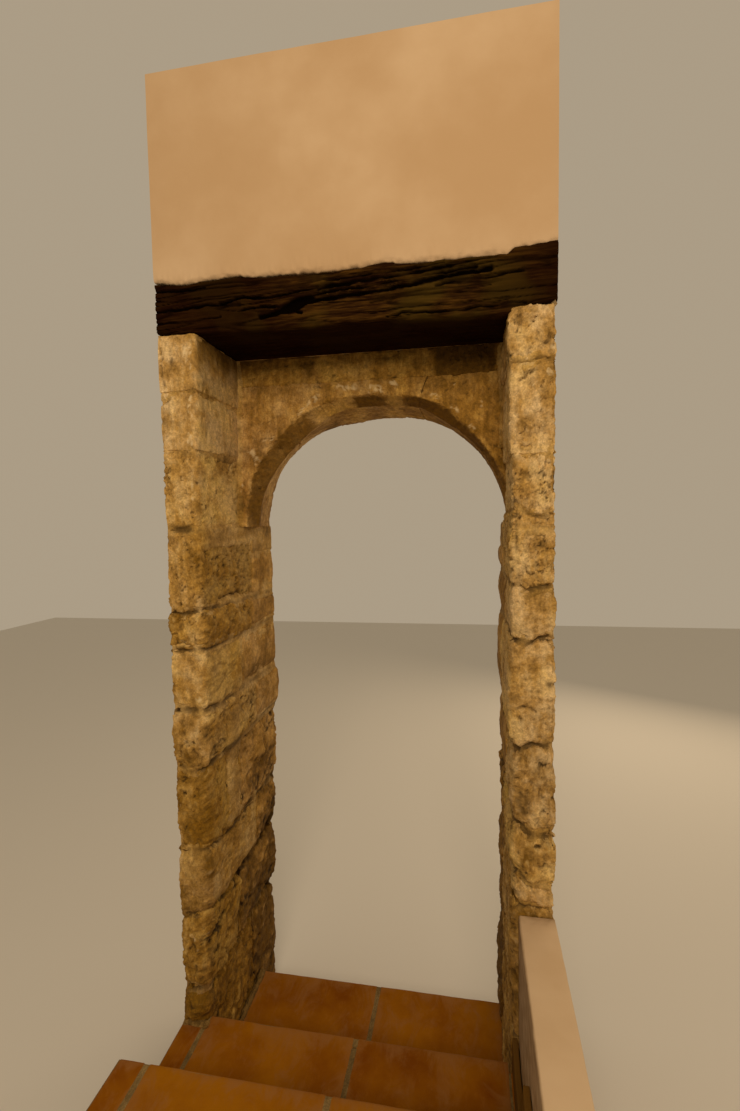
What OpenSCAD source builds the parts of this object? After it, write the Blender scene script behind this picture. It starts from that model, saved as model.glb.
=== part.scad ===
// Stone doorway through a thick wall: two piers of quoins carry a timber lintel,
// and a round arch of large stones stands half a wall's thickness behind it.
// Three tiled steps lead down through the opening, beside a low plastered kerb.
// X runs to the right, Y from the stairs through the doorway, and Z up. The
// origin is at the lower floor's level, under the middle of the opening.

/* [Wall] */
// Width of the wall between its two plain side faces
wall_w = 940; // [900:5:1000]
// Thickness of the wall from the near face to the far face
wall_t = 500; // [480:5:560]
// Height of the wall above the lower floor
wall_h = 2700; // [2500:10:3000]
// Width of the opening between the lines of the two reveals
opening_w = 750; // [730:5:770]
// Thickness of each coat of plaster above the lintel
plaster_t = 20; // [15:1:30]

/* [Arch] */
// Height of the arch's centre above the lower floor
arch_z = 1600; // [1585:5:1610]
// Distance of the arch's centre to the right of the middle of the opening
arch_x = 10; // [0:1:12]
// Radius of the chamfer's outer edge on the face of the arch
arch_r = 376; // [365:1:380]
// Width of the chamfer round the arch, which is cut at 45 degrees
chamfer_w = 24; // [10:1:30]
// Radius of the soffit where it meets the far face
far_r = 385; // [370:1:390]
// Height of the springing joint, on which the arch stones start
springing_z = 1622; // [1615:1:1630]
// Height of the impost blocks under the springing joint
impost_h = 66; // [50:1:90]
// Height of the top bed of the arch stones
arch_top_z = 2020; // [2010:1:2040]
// Half of the angle that the crown stone takes up at the arch's centre
crown_angle = 21; // [18:1:24]

/* [Lintel] */
// Height of the timber's underside above the lower floor
lintel_z = 2092; // [2080:1:2110]
// Height of the timber where it bears on the piers
lintel_h = 128; // [110:1:150]
// Depth of the timber into the wall
lintel_t = 240; // [220:5:250]

/* [Steps] */
// Height of one step
riser_h = 162; // [155:1:165]
// Depth of the visible part of the lowest tread
lower_going = 340; // [320:5:350]
// Depth of the visible part of the other treads
upper_going = 285; // [270:5:300]
// Distance of the lowest nosing beyond the middle of the wall
lower_nosing_y = 115; // [100:5:130]
// Distance that a tread stands over the riser under it
nosing = 15; // [10:1:20]
// Thickness of a tread tile
tread_t = 20; // [16:1:25]
// Thickness of a riser tile
riser_t = 14; // [10:1:16]
// Distance from one tile joint to the next
tile_pitch = 400; // [390:1:400]
// Width of the joint between two tiles
grout_w = 7; // [5:1:10]

/* [Kerb] */
// Width of the low plastered kerb at the right of the steps
kerb_w = 84; // [70:1:90]
// Height of the kerb above the lower floor
kerb_h = 715; // [650:5:725]
// Height of the skirting tiles along the kerb
skirting_h = 88; // [70:1:100]

/* [Hidden] */
// Heights of the bed joints of the left pier, from the floor to the lintel
LEFT_BEDS = [0, 411, 614, 788, 1014, 1157, 1317, 1409, springing_z, 1816, 1958, lintel_z];
// Heights of the bed joints of the right pier
RIGHT_BEDS = [0, 400, 728, 784, 903, 1121, 1350, 1481, springing_z, 1775, 1981, lintel_z];
// Distance of each quoin's reveal face out into the opening, from the bottom up
LEFT_REVEAL = [-30, -20, -10, -4, 8, 2, 6, -2, 0, 4, 8];
RIGHT_REVEAL = [7, 3, 0, 5, 1, 7, 2, 4, 0, 6, 8];
// Distance of each quoin's near face behind the wall's near face
LEFT_SETBACK = [0, 6, 2, 5, 0, 4, 1, 6, 2, 4, 0];
RIGHT_SETBACK = [0, 0, 8, 2, 5, 0, 4, 1, 6, 2, 3];
// Radius of each quoin's worn upright arris, largest near the floor
LEFT_ARRIS = [42, 40, 34, 30, 34, 22, 26, 20, 14, 12, 10];
RIGHT_ARRIS = [30, 34, 24, 30, 34, 28, 26, 20, 16, 14, 12];
// Length of each quoin through the wall beyond its middle plane: long and short in turn
LEFT_BOND = [60, -40, 70, -50, 60, -30, 50, 80, 0, 0, 0];
RIGHT_BOND = [50, 70, -40, 60, -50, 60, -40, 60, 0, 0, 0];
// Number of quoins below the springing joint, which have jamb stones behind them
LOW_QUOINS = 8;
// Distance of the jamb stones' reveal faces behind those of the quoins
jamb_recess = 3;
// Rounding of the horizontal edges of a stone, as heights and as insets of one edge size
EDGE_HEIGHTS = [0, 0.3, 1];
EDGE_INSETS = [1, 0.35, 0];
stone_edge = 12;
// Number of flats round an upright arris
ARRIS_FLATS = 4;
// Heights of the bed joints between springer and haunch, left and right
LEFT_HAUNCH_Z = 1872;
RIGHT_HAUNCH_Z = 1820;
// Upright joints of the levelling course, from left to right
LEVELLING_JOINTS = [-76, 82, 185];
mortar_w = 8;
// Sections of the timber from left to right: place, underside, top edge and face,
// each as a distance from the timber's nominal box
LINTEL_SECTIONS = [
    [-1, 4, -2, 4], [-0.8, 0, -4, 0], [-0.5, -5, -3, 6], [-0.13, -12, -8, 0],
    [0.22, -14, -3, 3], [0.55, -15, -6, 0], [0.78, -16, -7, 2], [0.81, 0, 0, 3], [1, 6, 0, 6]
];
lintel_wane = 9;

side_x = wall_w / 2;
half_t = wall_t / 2;
reveal_x = opening_w / 2;
lintel_top_z = lintel_z + lintel_h;
lintel_back_y = lintel_t - half_t;
crown_dx = (arch_top_z - arch_z) * tan(crown_angle);

stair_left_x = -side_x;
stair_right_x = side_x - kerb_w;
low_left_x = -reveal_x + LEFT_REVEAL[0];
low_right_x = reveal_x - RIGHT_REVEAL[0];
// Places of the three nosings, and of the plain end of the stair
NOSINGS = [lower_nosing_y, lower_nosing_y - lower_going, lower_nosing_y - lower_going - upper_going];
stair_end_y = NOSINGS[2] - upper_going - nosing;
// Joint between two tiles near the middle of each tread
TILE_JOINTS = [-10, -10, -3];
tile_nose_r = 8;
tile_nose_flats = 4;

STONE = "#b3935c";
ARCH_STONE = "#a88a55";
RUBBLE = "#9c8052";
MORTAR = "#a39069";
TIMBER = "#2e2018";
PLASTER = "#dcbf8f";
CORE = "#8f8068";
TERRACOTTA = "#a9622f";

QUOIN_COUNT = len(LEFT_REVEAL);

// Solid through a list of rings of points, all of one length. Each ring runs
// counter-clockwise as seen from the last ring's side.
module loft(rings) {
    n = len(rings[0]);
    last = (len(rings) - 1) * n;
    points = [for (ring = rings) for (p = ring) p];
    walls = [
        for (k = [0:len(rings) - 2], j = [0:n - 1])
            let (a = k * n + j, b = k * n + (j + 1) % n)
            for (face = [[a, a + n, b + n], [a, b + n, b]]) face
    ];
    caps = [[for (j = [0:n - 1]) j], [for (j = [n - 1:-1:0]) last + j]];
    polyhedron(points, concat(walls, caps));
}

// Outline in plan of a stone in the left pier, seen from above: its side and back
// are plain, its near face and reveal face show and meet in a rounded arris
function stone_ring(reveal, near, back, arris, inset, z) =
    let (x = reveal - inset, y = near + inset, r = arris - inset / 2)
    concat(
        [[-side_x, back, z], [-side_x, y, z]],
        [
            for (i = [0:ARRIS_FLATS])
                let (a = 90 * i / ARRIS_FLATS)
                [x - r + r * sin(a), y + r - r * cos(a), z]
        ],
        [[x, back, z]]
    );

// One stone of the left pier between two bed joints, with worn horizontal edges
module pier_stone(low, high, reveal, near, back, arris) {
    edges = len(EDGE_HEIGHTS) - 1;
    rings = concat(
        [
            for (k = [0:edges])
                stone_ring(reveal, near, back, arris,
                    stone_edge * EDGE_INSETS[k], low + stone_edge * EDGE_HEIGHTS[k])
        ],
        [
            for (k = [edges:-1:0])
                stone_ring(reveal, near, back, arris,
                    stone_edge * EDGE_INSETS[k], high - stone_edge * EDGE_HEIGHTS[k])
        ]
    );
    loft(rings);
}

module left_quoin(i) {
    color(STONE)
        pier_stone(LEFT_BEDS[i], LEFT_BEDS[i + 1], LEFT_REVEAL[i] - reveal_x,
            LEFT_SETBACK[i] - half_t, LEFT_BOND[i], LEFT_ARRIS[i]);
}

module right_quoin(i) {
    color(STONE)
        mirror([1, 0, 0])
            pier_stone(RIGHT_BEDS[i], RIGHT_BEDS[i + 1], RIGHT_REVEAL[i] - reveal_x,
                RIGHT_SETBACK[i] - half_t, RIGHT_BOND[i], RIGHT_ARRIS[i]);
}

// Stones of the far half of a left jamb, one behind each quoin up to the impost
module jamb_stones(beds, reveals, setbacks, bonds, arrises) {
    for (i = [0:LOW_QUOINS - 1])
        mirror([0, 1, 0])
            pier_stone(beds[i], min(beds[i + 1], springing_z - impost_h),
                reveals[i] - jamb_recess - reveal_x,
                setbacks[i] / 2 - half_t, -bonds[i], arrises[i] / 2);
}

module left_jamb() {
    color(RUBBLE)
        jamb_stones(LEFT_BEDS, LEFT_REVEAL, LEFT_SETBACK, LEFT_BOND, LEFT_ARRIS);
}

module right_jamb() {
    color(RUBBLE)
        mirror([1, 0, 0])
            jamb_stones(RIGHT_BEDS, RIGHT_REVEAL, RIGHT_SETBACK, RIGHT_BOND, RIGHT_ARRIS);
}

// Smooth block under one end of the arch, behind the quoin of its course
module impost(bond) {
    translate([-side_x, bond, springing_z - impost_h])
        cube([side_x - reveal_x, half_t - bond, impost_h]);
}

module left_impost() {
    color(MORTAR)
        impost(LEFT_BOND[LOW_QUOINS - 1]);
}

module right_impost() {
    color(MORTAR)
        mirror([1, 0, 0])
            impost(RIGHT_BOND[LOW_QUOINS - 1]);
}

// Space under the arch: a chamfer behind the near face, then a soffit that
// widens a little towards the far face
module arch_space() {
    overrun = 1;
    throat_r = arch_r - chamfer_w;
    slope = (far_r - throat_r) / (half_t - chamfer_w);
    translate([arch_x, 0, arch_z])
        rotate([-90, 0, 0])
            rotate_extrude($fn = 128)
                polygon([
                    [0, -overrun], [arch_r + overrun, -overrun], [throat_r, chamfer_w],
                    [far_r + slope * overrun, half_t + overrun], [0, half_t + overrun]
                ]);
}

// Stone of the arch with the given outline, seen from the near side
module arch_stone(outline) {
    color(ARCH_STONE)
        difference() {
            translate([0, half_t, 0])
                rotate([90, 0, 0])
                    linear_extrude(half_t)
                        polygon(outline);
            arch_space();
        }
}

// Distance of a crown joint from the arch's centre line at a height
function crown_joint_dx(z) = (z - arch_z) * tan(crown_angle);

module left_springer() {
    arch_stone([
        [-side_x, springing_z], [arch_x, springing_z],
        [arch_x, LEFT_HAUNCH_Z], [-side_x, LEFT_HAUNCH_Z]
    ]);
}

module right_springer() {
    arch_stone([
        [arch_x, springing_z], [side_x, springing_z],
        [side_x, RIGHT_HAUNCH_Z], [arch_x, RIGHT_HAUNCH_Z]
    ]);
}

module left_haunch() {
    arch_stone([
        [-side_x, LEFT_HAUNCH_Z], [arch_x - crown_joint_dx(LEFT_HAUNCH_Z), LEFT_HAUNCH_Z],
        [arch_x - crown_dx, arch_top_z], [-side_x, arch_top_z]
    ]);
}

module right_haunch() {
    arch_stone([
        [arch_x + crown_joint_dx(RIGHT_HAUNCH_Z), RIGHT_HAUNCH_Z], [side_x, RIGHT_HAUNCH_Z],
        [side_x, arch_top_z], [arch_x + crown_dx, arch_top_z]
    ]);
}

module crown_stone() {
    arch_stone([
        [arch_x, arch_z], [arch_x + crown_dx, arch_top_z], [arch_x - crown_dx, arch_top_z]
    ]);
}

// Row of rough stones that brings the arch up level with the piers
module levelling_course() {
    ends = concat([-side_x - mortar_w / 2], LEVELLING_JOINTS, [side_x + mortar_w / 2]);
    color(RUBBLE)
        for (k = [0:len(ends) - 2])
            translate([ends[k] + mortar_w / 2, k % 2 * 4, arch_top_z])
                cube([ends[k + 1] - ends[k] - mortar_w, half_t - k % 2 * 4, lintel_z - arch_top_z]);
}

// Outline of the hewn timber across its length, with waney near edges
function lintel_ring(section) =
    let (
        x = section[0] * side_x,
        low = lintel_z + section[1],
        high = lintel_top_z + section[2],
        face = section[3] - half_t
    )
    [
        [x, lintel_back_y, low], [x, lintel_back_y, lintel_top_z],
        [x, face + 3 * lintel_wane, lintel_top_z], [x, face + lintel_wane, high],
        [x, face, high - lintel_wane], [x, face, low + lintel_wane], [x, face + lintel_wane, low]
    ];

module timber_lintel() {
    color(TIMBER)
        loft([for (section = LINTEL_SECTIONS) lintel_ring(section)]);
}

// Masonry behind the timber, on the levelling course
module backing_course() {
    color(CORE)
        translate([-side_x, lintel_back_y, lintel_z])
            cube([wall_w, half_t - plaster_t - lintel_back_y, lintel_h]);
}

module upper_wall() {
    color(CORE)
        translate([-side_x, plaster_t - half_t, lintel_top_z])
            cube([wall_w, wall_t - 2 * plaster_t, wall_h - lintel_top_z]);
}

module near_plaster() {
    color(PLASTER)
        translate([-side_x, -half_t, lintel_top_z])
            cube([wall_w, plaster_t, wall_h - lintel_top_z]);
}

module far_plaster() {
    color(PLASTER)
        translate([-side_x, half_t - plaster_t, lintel_z])
            cube([wall_w, plaster_t, wall_h - lintel_z]);
}

// Solid from one X to another whose outline is given as Y and Z
module along_x(from_x, to_x, outline) {
    translate([from_x, 0, 0])
        rotate([90, 0, 90])
            linear_extrude(to_x - from_x)
                polygon(outline);
}

function riser_face_y(step) = NOSINGS[step] - nosing;
function core_front_y(step) = riser_face_y(step) - riser_t;
function tread_top_z(step) = (step + 1) * riser_h;

// Masonry under the tiles: the lowest step fills the opening between the
// piers, and the other two stand against the wall's near face
module step_masonry() {
    color(CORE) {
        along_x(low_left_x, low_right_x, [
            [core_front_y(1), 0], [core_front_y(0), 0],
            [core_front_y(0), tread_top_z(0) - tread_t], [core_front_y(1), tread_top_z(0) - tread_t]
        ]);
        along_x(stair_left_x, stair_right_x, [
            [stair_end_y, 0], [core_front_y(1), 0],
            [core_front_y(1), tread_top_z(1) - tread_t], [core_front_y(2), tread_top_z(1) - tread_t],
            [core_front_y(2), tread_top_z(2) - tread_t], [stair_end_y, tread_top_z(2) - tread_t]
        ]);
    }
}

// One tread tile with a rounded nose towards the step below
module tread_tile(from_x, to_x, back_y, nose_y, top_z) {
    nose = [
        for (i = [0:tile_nose_flats])
            let (a = 90 * i / tile_nose_flats)
            [nose_y - tile_nose_r * (1 - cos(a)), top_z - tile_nose_r * (1 - sin(a))]
    ];
    along_x(from_x, to_x, concat(
        [[back_y, top_z - tread_t], [nose_y, top_z - tread_t]], nose, [[back_y, top_z]]
    ));
}

module lower_tread() {
    back_y = riser_face_y(1);
    color(TERRACOTTA) {
        tread_tile(low_left_x, TILE_JOINTS[0] - grout_w / 2, back_y, NOSINGS[0], tread_top_z(0));
        tread_tile(TILE_JOINTS[0] + grout_w / 2, low_right_x, back_y, NOSINGS[0], tread_top_z(0));
    }
}

// The middle tread: its narrow left tile ends at the pier's face, and the
// other two reach past it into the opening
module middle_tread() {
    back_y = riser_face_y(2);
    left_joint = min(TILE_JOINTS[1] - tile_pitch, low_left_x - grout_w / 2);
    kerb_gap_x = low_right_x;
    color(TERRACOTTA) {
        tread_tile(stair_left_x, left_joint - grout_w / 2, back_y, -half_t, tread_top_z(1));
        tread_tile(left_joint + grout_w / 2, TILE_JOINTS[1] - grout_w / 2, back_y,
            NOSINGS[1], tread_top_z(1));
        tread_tile(TILE_JOINTS[1] + grout_w / 2, kerb_gap_x, back_y, NOSINGS[1], tread_top_z(1));
        tread_tile(kerb_gap_x, stair_right_x, back_y, -half_t, tread_top_z(1));
    }
}

module upper_tread() {
    left_joint = TILE_JOINTS[2] - tile_pitch;
    color(TERRACOTTA) {
        tread_tile(stair_left_x, left_joint - grout_w / 2, stair_end_y, NOSINGS[2], tread_top_z(2));
        tread_tile(left_joint + grout_w / 2, TILE_JOINTS[2] - grout_w / 2, stair_end_y,
            NOSINGS[2], tread_top_z(2));
        tread_tile(TILE_JOINTS[2] + grout_w / 2, stair_right_x, stair_end_y,
            NOSINGS[2], tread_top_z(2));
    }
}

// Upright tiles under the three nosings, each standing on the tread below it
module riser_tile(step, from_x, to_x) {
    along_x(from_x, to_x, [
        [core_front_y(step), step * riser_h], [riser_face_y(step), step * riser_h],
        [riser_face_y(step), tread_top_z(step) - tread_t],
        [core_front_y(step), tread_top_z(step) - tread_t]
    ]);
}

module riser_tiles() {
    color(TERRACOTTA) {
        riser_tile(0, low_left_x, low_right_x);
        riser_tile(1, low_left_x, low_right_x);
        riser_tile(2, stair_left_x, stair_right_x);
    }
}

// Low plastered kerb along the right of the steps, up to the pier's near face
module stair_kerb() {
    edge_r = 16;
    edge_flats = 6;
    arc = [
        for (i = [0:edge_flats])
            let (a = 90 * i / edge_flats)
            [stair_right_x + edge_r * (1 - sin(a)), kerb_h - edge_r * (1 - cos(a))]
    ];
    color(PLASTER)
        translate([0, -half_t, 0])
            rotate([90, 0, 0])
                linear_extrude(-half_t - stair_end_y)
                    polygon(concat([[stair_right_x, 0], [side_x, 0], [side_x, kerb_h]], arc));
}

// Skirting tiles along the kerb, one row on each of the two upper treads
module kerb_skirting() {
    color(TERRACOTTA) {
        translate([stair_right_x - riser_t, riser_face_y(2), tread_top_z(1)])
            cube([riser_t, -half_t - riser_face_y(2), skirting_h]);
        translate([stair_right_x - riser_t, stair_end_y, tread_top_z(2)])
            cube([riser_t, NOSINGS[2] - stair_end_y, skirting_h]);
    }
}

for (i = [0:QUOIN_COUNT - 1]) {
    left_quoin(i);
    right_quoin(i);
}
left_jamb();
right_jamb();
left_impost();
right_impost();
left_springer();
left_haunch();
crown_stone();
right_haunch();
right_springer();
levelling_course();
timber_lintel();
backing_course();
upper_wall();
near_plaster();
far_plaster();
step_masonry();
lower_tread();
middle_tread();
upper_tread();
riser_tiles();
stair_kerb();
kerb_skirting();
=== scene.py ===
# %% [markdown]
# # A stone doorway with a timber lintel and tiled steps
#
# The real thing is a hole through a wall half a metre thick. Two piers of
# large limestone quoins stand on the lower floor and carry a hewn timber.
# Behind the timber the wall's other half rests on a round arch of five
# stones. Three steps with terracotta tiles lead down through the opening,
# beside a low plastered kerb.
#
# The plain solids come from the frame, so nothing here decides where a piece
# goes. Each piece below is a finer skin for one of those solids, and every
# size is read from the solid's own box wherever that is possible.

# %% The frame
import math

import bpy
import numpy as np
from mathutils import Matrix, Vector, noise


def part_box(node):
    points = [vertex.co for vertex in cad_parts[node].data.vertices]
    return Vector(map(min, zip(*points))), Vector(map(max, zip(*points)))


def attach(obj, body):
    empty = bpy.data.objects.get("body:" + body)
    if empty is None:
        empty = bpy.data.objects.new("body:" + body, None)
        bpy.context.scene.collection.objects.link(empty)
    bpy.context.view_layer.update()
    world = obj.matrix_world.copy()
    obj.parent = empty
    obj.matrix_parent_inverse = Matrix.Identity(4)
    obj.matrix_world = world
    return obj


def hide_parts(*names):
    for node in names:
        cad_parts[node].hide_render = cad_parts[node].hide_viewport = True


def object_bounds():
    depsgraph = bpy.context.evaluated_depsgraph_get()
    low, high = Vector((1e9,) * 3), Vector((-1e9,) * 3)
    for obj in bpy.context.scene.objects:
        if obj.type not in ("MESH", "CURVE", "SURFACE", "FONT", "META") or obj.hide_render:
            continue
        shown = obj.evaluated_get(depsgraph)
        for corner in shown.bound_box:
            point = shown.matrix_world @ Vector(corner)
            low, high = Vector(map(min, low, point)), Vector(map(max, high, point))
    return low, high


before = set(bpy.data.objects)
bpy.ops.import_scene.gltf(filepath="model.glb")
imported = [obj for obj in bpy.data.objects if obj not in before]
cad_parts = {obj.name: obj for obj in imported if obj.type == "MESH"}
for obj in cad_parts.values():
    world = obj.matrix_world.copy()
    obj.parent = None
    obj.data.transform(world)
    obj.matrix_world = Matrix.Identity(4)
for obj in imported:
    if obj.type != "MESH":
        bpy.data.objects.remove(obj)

MM = 0.001
cad_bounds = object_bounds()
low_bound, high_bound = (np.array(corner) for corner in cad_bounds)
print("solids:", len(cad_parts), "from", list(cad_bounds[0]), "to", list(cad_bounds[1]))

# %% [markdown]
# ## Three small helpers
#
# Colours are easiest to pick as the sRGB hex values that a screen shows, but
# Blender mixes light in linear values, so one function turns the first into
# the second. Another adds one node to any tree: it sets the node's own
# settings, fills its inputs by name or by place, with a number or with a
# link, and gives back its output for the next node. The third puts an
# object into the scene.

# %% Colours and nodes
def linear(hex_colour):
    """The linear colour of an sRGB hex value, with full opacity."""
    shown = [int(hex_colour[i:i + 2], 16) / 255 for i in (1, 3, 5)]
    return [c / 12.92 if c <= 0.04045 else ((c + 0.055) / 1.055) ** 2.4 for c in shown] + [1.0]


def add(tree, kind, settings=None, inputs=None):
    """Adds one node with its settings and inputs, and returns its first usable output.

    A kind without "Node" in its name is a shader node, as in "Math"."""
    made = tree.nodes.new(kind if "Node" in kind else "ShaderNode" + kind)
    for name, value in (settings or {}).items():
        setattr(made, name, value)
    usable = [socket for socket in made.inputs if socket.enabled]
    named = inputs if isinstance(inputs, dict) else dict(enumerate(inputs or []))
    for key, value in named.items():
        socket = usable[key] if isinstance(key, int) else next(s for s in usable if s.name == key)
        if isinstance(value, bpy.types.NodeSocket):
            tree.links.new(value, socket)
        else:
            socket.default_value = value
    return next((socket for socket in made.outputs if socket.enabled), None)


def put(name, data):
    """A new object in the scene."""
    made = bpy.data.objects.new(name, data)
    bpy.context.collection.objects.link(made)
    return made


ADD, SUBTRACT, MULTIPLY, DIVIDE, TIMES_PLUS, MAXIMUM, MINIMUM, ABSOLUTE, SCALE = (
    {"operation": word} for word in
    ("ADD", "SUBTRACT", "MULTIPLY", "DIVIDE", "MULTIPLY_ADD", "MAXIMUM", "MINIMUM", "ABSOLUTE", "SCALE"))
ADD_CLAMPED, TIMES_CLAMPED, TIMES_PLUS_CLAMPED = (
    {**kind, "use_clamp": True} for kind in (ADD, MULTIPLY, TIMES_PLUS))
SMOOTH = {"interpolation_type": "SMOOTHSTEP"}
NOISE_4D = {"noise_dimensions": "4D"}
COLOUR = {"data_type": "RGBA"}
TINT = {"data_type": "RGBA", "blend_type": "MULTIPLY"}
POINT_VALUE = {"data_type": "FLOAT", "domain": "POINT"}
print("middle grey in linear values:", [round(value, 3) for value in linear("#808080")])

# %% [markdown]
# ## Camera, light and floor
#
# The camera stands where the photographer stood: a little right of the
# middle on the upper steps, with a very wide lens, turned 10 degrees to the
# left and looking slightly down. These values were solved from the floor
# tiles and the three tread edges. The light is a plain soft studio light:
# one panel high behind the camera, a broader and weaker one behind the wall,
# and a pale world that fills the shadows.

# %% Camera
FRAME_HEIGHT_PX = 1111
FOCAL_PX = 547.75
EYE = (0.282, -1.504, 1.636)
TURN_LEFT, LOOK_DOWN, ROLL = (math.radians(a) for a in (10.386, 3.720, 1.029))
SENSOR = 36.0

camera_data = bpy.data.cameras.new("camera")
camera_data.sensor_fit = "VERTICAL"
camera_data.sensor_height = SENSOR
camera_data.lens = SENSOR * FOCAL_PX / FRAME_HEIGHT_PX
camera = put("camera", camera_data)
turned = Matrix.Rotation(TURN_LEFT, 4, "Z") @ Matrix.Rotation(math.pi / 2 - LOOK_DOWN, 4, "X")
camera.matrix_world = Matrix.Translation(EYE) @ turned @ Matrix.Rotation(-ROLL, 4, "Z")
bpy.context.scene.camera = camera
print("lens:", round(camera_data.lens, 2), "mm")

# %% Light and floor
scene = bpy.context.scene
scene.view_settings.view_transform = "Standard"


def panel(name, place, target, size, watts, colour):
    """A square lamp that faces a target."""
    lamp = bpy.data.lights.new(name, "AREA")
    lamp.size = size
    lamp.energy = watts
    lamp.color = linear(colour)[:3]
    holder = put(name, lamp)
    holder.location = place
    holder.rotation_euler = (Vector(target) - Vector(place)).to_track_quat("-Z", "Y").to_euler()


panel("key_panel", (0.35, -2.6, 2.75), (0.0, -0.2, 1.7), 1.0, 39, "#ffe6c6")
panel("back_panel", (1.9, 3.2, 2.1), (0.0, 0.1, 1.3), 2.2, 36, "#ffe3bc")

world = bpy.data.worlds.new("studio")
scene.world = world
world.use_nodes = True
world.node_tree.nodes.clear()
sky = add(world.node_tree, "Background", None, {"Color": linear("#f7e2c2"), "Strength": 0.44})
add(world.node_tree, "OutputWorld", None, {"Surface": sky})

FLOOR_REACH = 7.0
floor_mesh = bpy.data.meshes.new("floor")
floor_corners = [(x * FLOOR_REACH, y * FLOOR_REACH, 0) for x, y in ((-1, -1), (1, -1), (1, 1), (-1, 1))]
floor_mesh.from_pydata(floor_corners, [], [(0, 1, 2, 3)])
floor = put("floor", floor_mesh)
floor_paint = bpy.data.materials.new("pale_floor")
floor_paint.use_nodes = True
floor_shader = floor_paint.node_tree.nodes["Principled BSDF"]
floor_shader.inputs["Base Color"].default_value = linear("#d9d4cb")
floor_shader.inputs["Roughness"].default_value = 0.9
floor_mesh.materials.append(floor_paint)
print("lamps:", [lamp.name for lamp in bpy.data.lights])

# %% [markdown]
# ## Skins instead of boxes
#
# Hewn stone, timber and plaster have no flat face and no sharp edge, but they
# do have a plain idea behind them: an outline that is carried along a line.
# A quoin is its plan carried upwards, the timber is its section carried
# sideways, and the kerb is its section carried along the stairs.
#
# So two functions make almost every mesh here. `outline` walks round a few
# corners and returns many points, with arcs at worn corners and close points
# only where the surface shows. `loft` joins many such rings into one closed
# skin. A voxel remesh would be less code, but it spends as many faces on the
# hidden beds of a stone as on its face.

# %% Outlines
ARC_STEP = math.radians(18)
RAMP = 8 * MM


def even(start, end, step):
    """Numbers from start to end that are no more than a step apart."""
    return np.linspace(start, end, max(2, math.ceil(abs(end - start) / step) + 1))


def outline(corners):
    """Points round a closed outline, counter-clockwise, with the way that each looks and how far it shows.

    A corner is (x, y, rounding, step, shown). Step and shown are those of the side that follows it."""
    spots = [np.array(corner[:2], float) for corner in corners]
    count = len(corners)
    points, looks, shown, hidden_corners = [], [], [], []
    for i, (_, _, rounding, step, seen) in enumerate(corners):
        along = spots[(i + 1) % count] - spots[i]
        length = np.linalg.norm(along)
        along /= length
        back = spots[i] - spots[i - 1]
        back /= np.linalg.norm(back)
        look_in, look_out = np.array([back[1], -back[0]]), np.array([along[1], -along[0]])
        seen_before = corners[i - 1][4]
        turn = math.acos(max(-1.0, min(1.0, float(look_in @ look_out))))
        if rounding > 0:
            centre = spots[i] - rounding * (look_in + look_out) / (1 + look_in @ look_out)
            for t in even(0, 1, ARC_STEP / turn):
                look = look_in * math.sin((1 - t) * turn) + look_out * math.sin(t * turn)
                look /= np.linalg.norm(look)
                points.append(centre + rounding * look)
                looks.append(look)
                shown.append(max(seen, seen_before))
        else:
            points.append(spots[i])
            looks.append(look_out if seen > seen_before else look_in)
            shown.append(min(seen, seen_before))
            if min(seen, seen_before) < max(seen, seen_before):
                hidden_corners.append(spots[i])
        start = rounding * math.tan(turn / 2)
        following = corners[(i + 1) % count]
        next_along = spots[(i + 2) % count] - spots[(i + 1) % count]
        next_along /= np.linalg.norm(next_along)
        next_turn = math.acos(max(-1.0, min(1.0, float(along @ next_along))))
        end = length - following[2] * math.tan(next_turn / 2)
        for t in even(start, end, step)[1:-1]:
            points.append(spots[i] + along * t)
            looks.append(look_out)
            shown.append(seen)
    points, looks, shown = np.array(points), np.array(looks), np.array(shown, float)
    for corner in hidden_corners:
        shown = np.minimum(shown, np.clip(np.linalg.norm(points - corner, axis=1) / RAMP, 0, 1))
    return points, looks, shown


# %% Lofts
pieces = []


def loft(name, rings, worn=None, edge=None, mark=None):
    """A closed skin through rings of points, with masks that the weathering tree reads."""
    rows, around = rings.shape[:2]
    place = np.arange(rows * around).reshape(rows, around)
    after = np.roll(place, -1, axis=1)
    walls = np.stack([place[:-1], after[:-1], after[1:], place[1:]], -1).reshape(-1, 4)
    first, middle = rings[0].mean(0), rings.reshape(-1, 3).mean(0)
    a, b, c = (rings.reshape(-1, 3)[walls[:, k]] - middle for k in range(3))
    inside_out = np.einsum("ij,ij->i", a, np.cross(b, c)).sum() < 0
    faces = walls.tolist() + [place[0][::-1].tolist(), place[-1].tolist()]
    if inside_out:
        faces = [face[::-1] for face in faces]
    mesh = bpy.data.meshes.new(name)
    mesh.from_pydata(rings.reshape(-1, 3).tolist(), [], faces)
    for label, mask, usual in (("worn", worn, 1), ("edge", edge, 1), ("mark", mark, 0)):
        values = np.broadcast_to(usual if mask is None else mask, (rows, around)).ravel()
        mesh.attributes.new(label, "FLOAT", "POINT").data.foreach_set("value", values.astype(np.float32))
    pieces.append(put(name, mesh))
    return pieces[-1]


def ripple(points, size, seed):
    """Smooth noise between -1 and 1 at each point, in swells of about the given size."""
    shift = Vector((seed * 13.7, seed * 5.3, seed * 9.1))
    return np.array([noise.noise(Vector(p) / size + shift) for p in points])


# %% [markdown]
# ## A stone block
#
# A block of masonry is its plan carried from its lower bed to its upper
# bed. Real beds aren't level, so each ring point has a bed height of its own,
# taken from one wave field that all stones share: the stone above follows
# the stone below. The edges at the beds are worn to a radius that changes
# along the edge, and the face swells between them like a cushion. Two
# smaller rings at each end close the skin inside the joint, out of sight.

# %% Blocks
RIM_ANGLES = np.radians([0, 20, 42, 66, 90])
CAP_SCALES = (0.93, 0.45)


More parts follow.
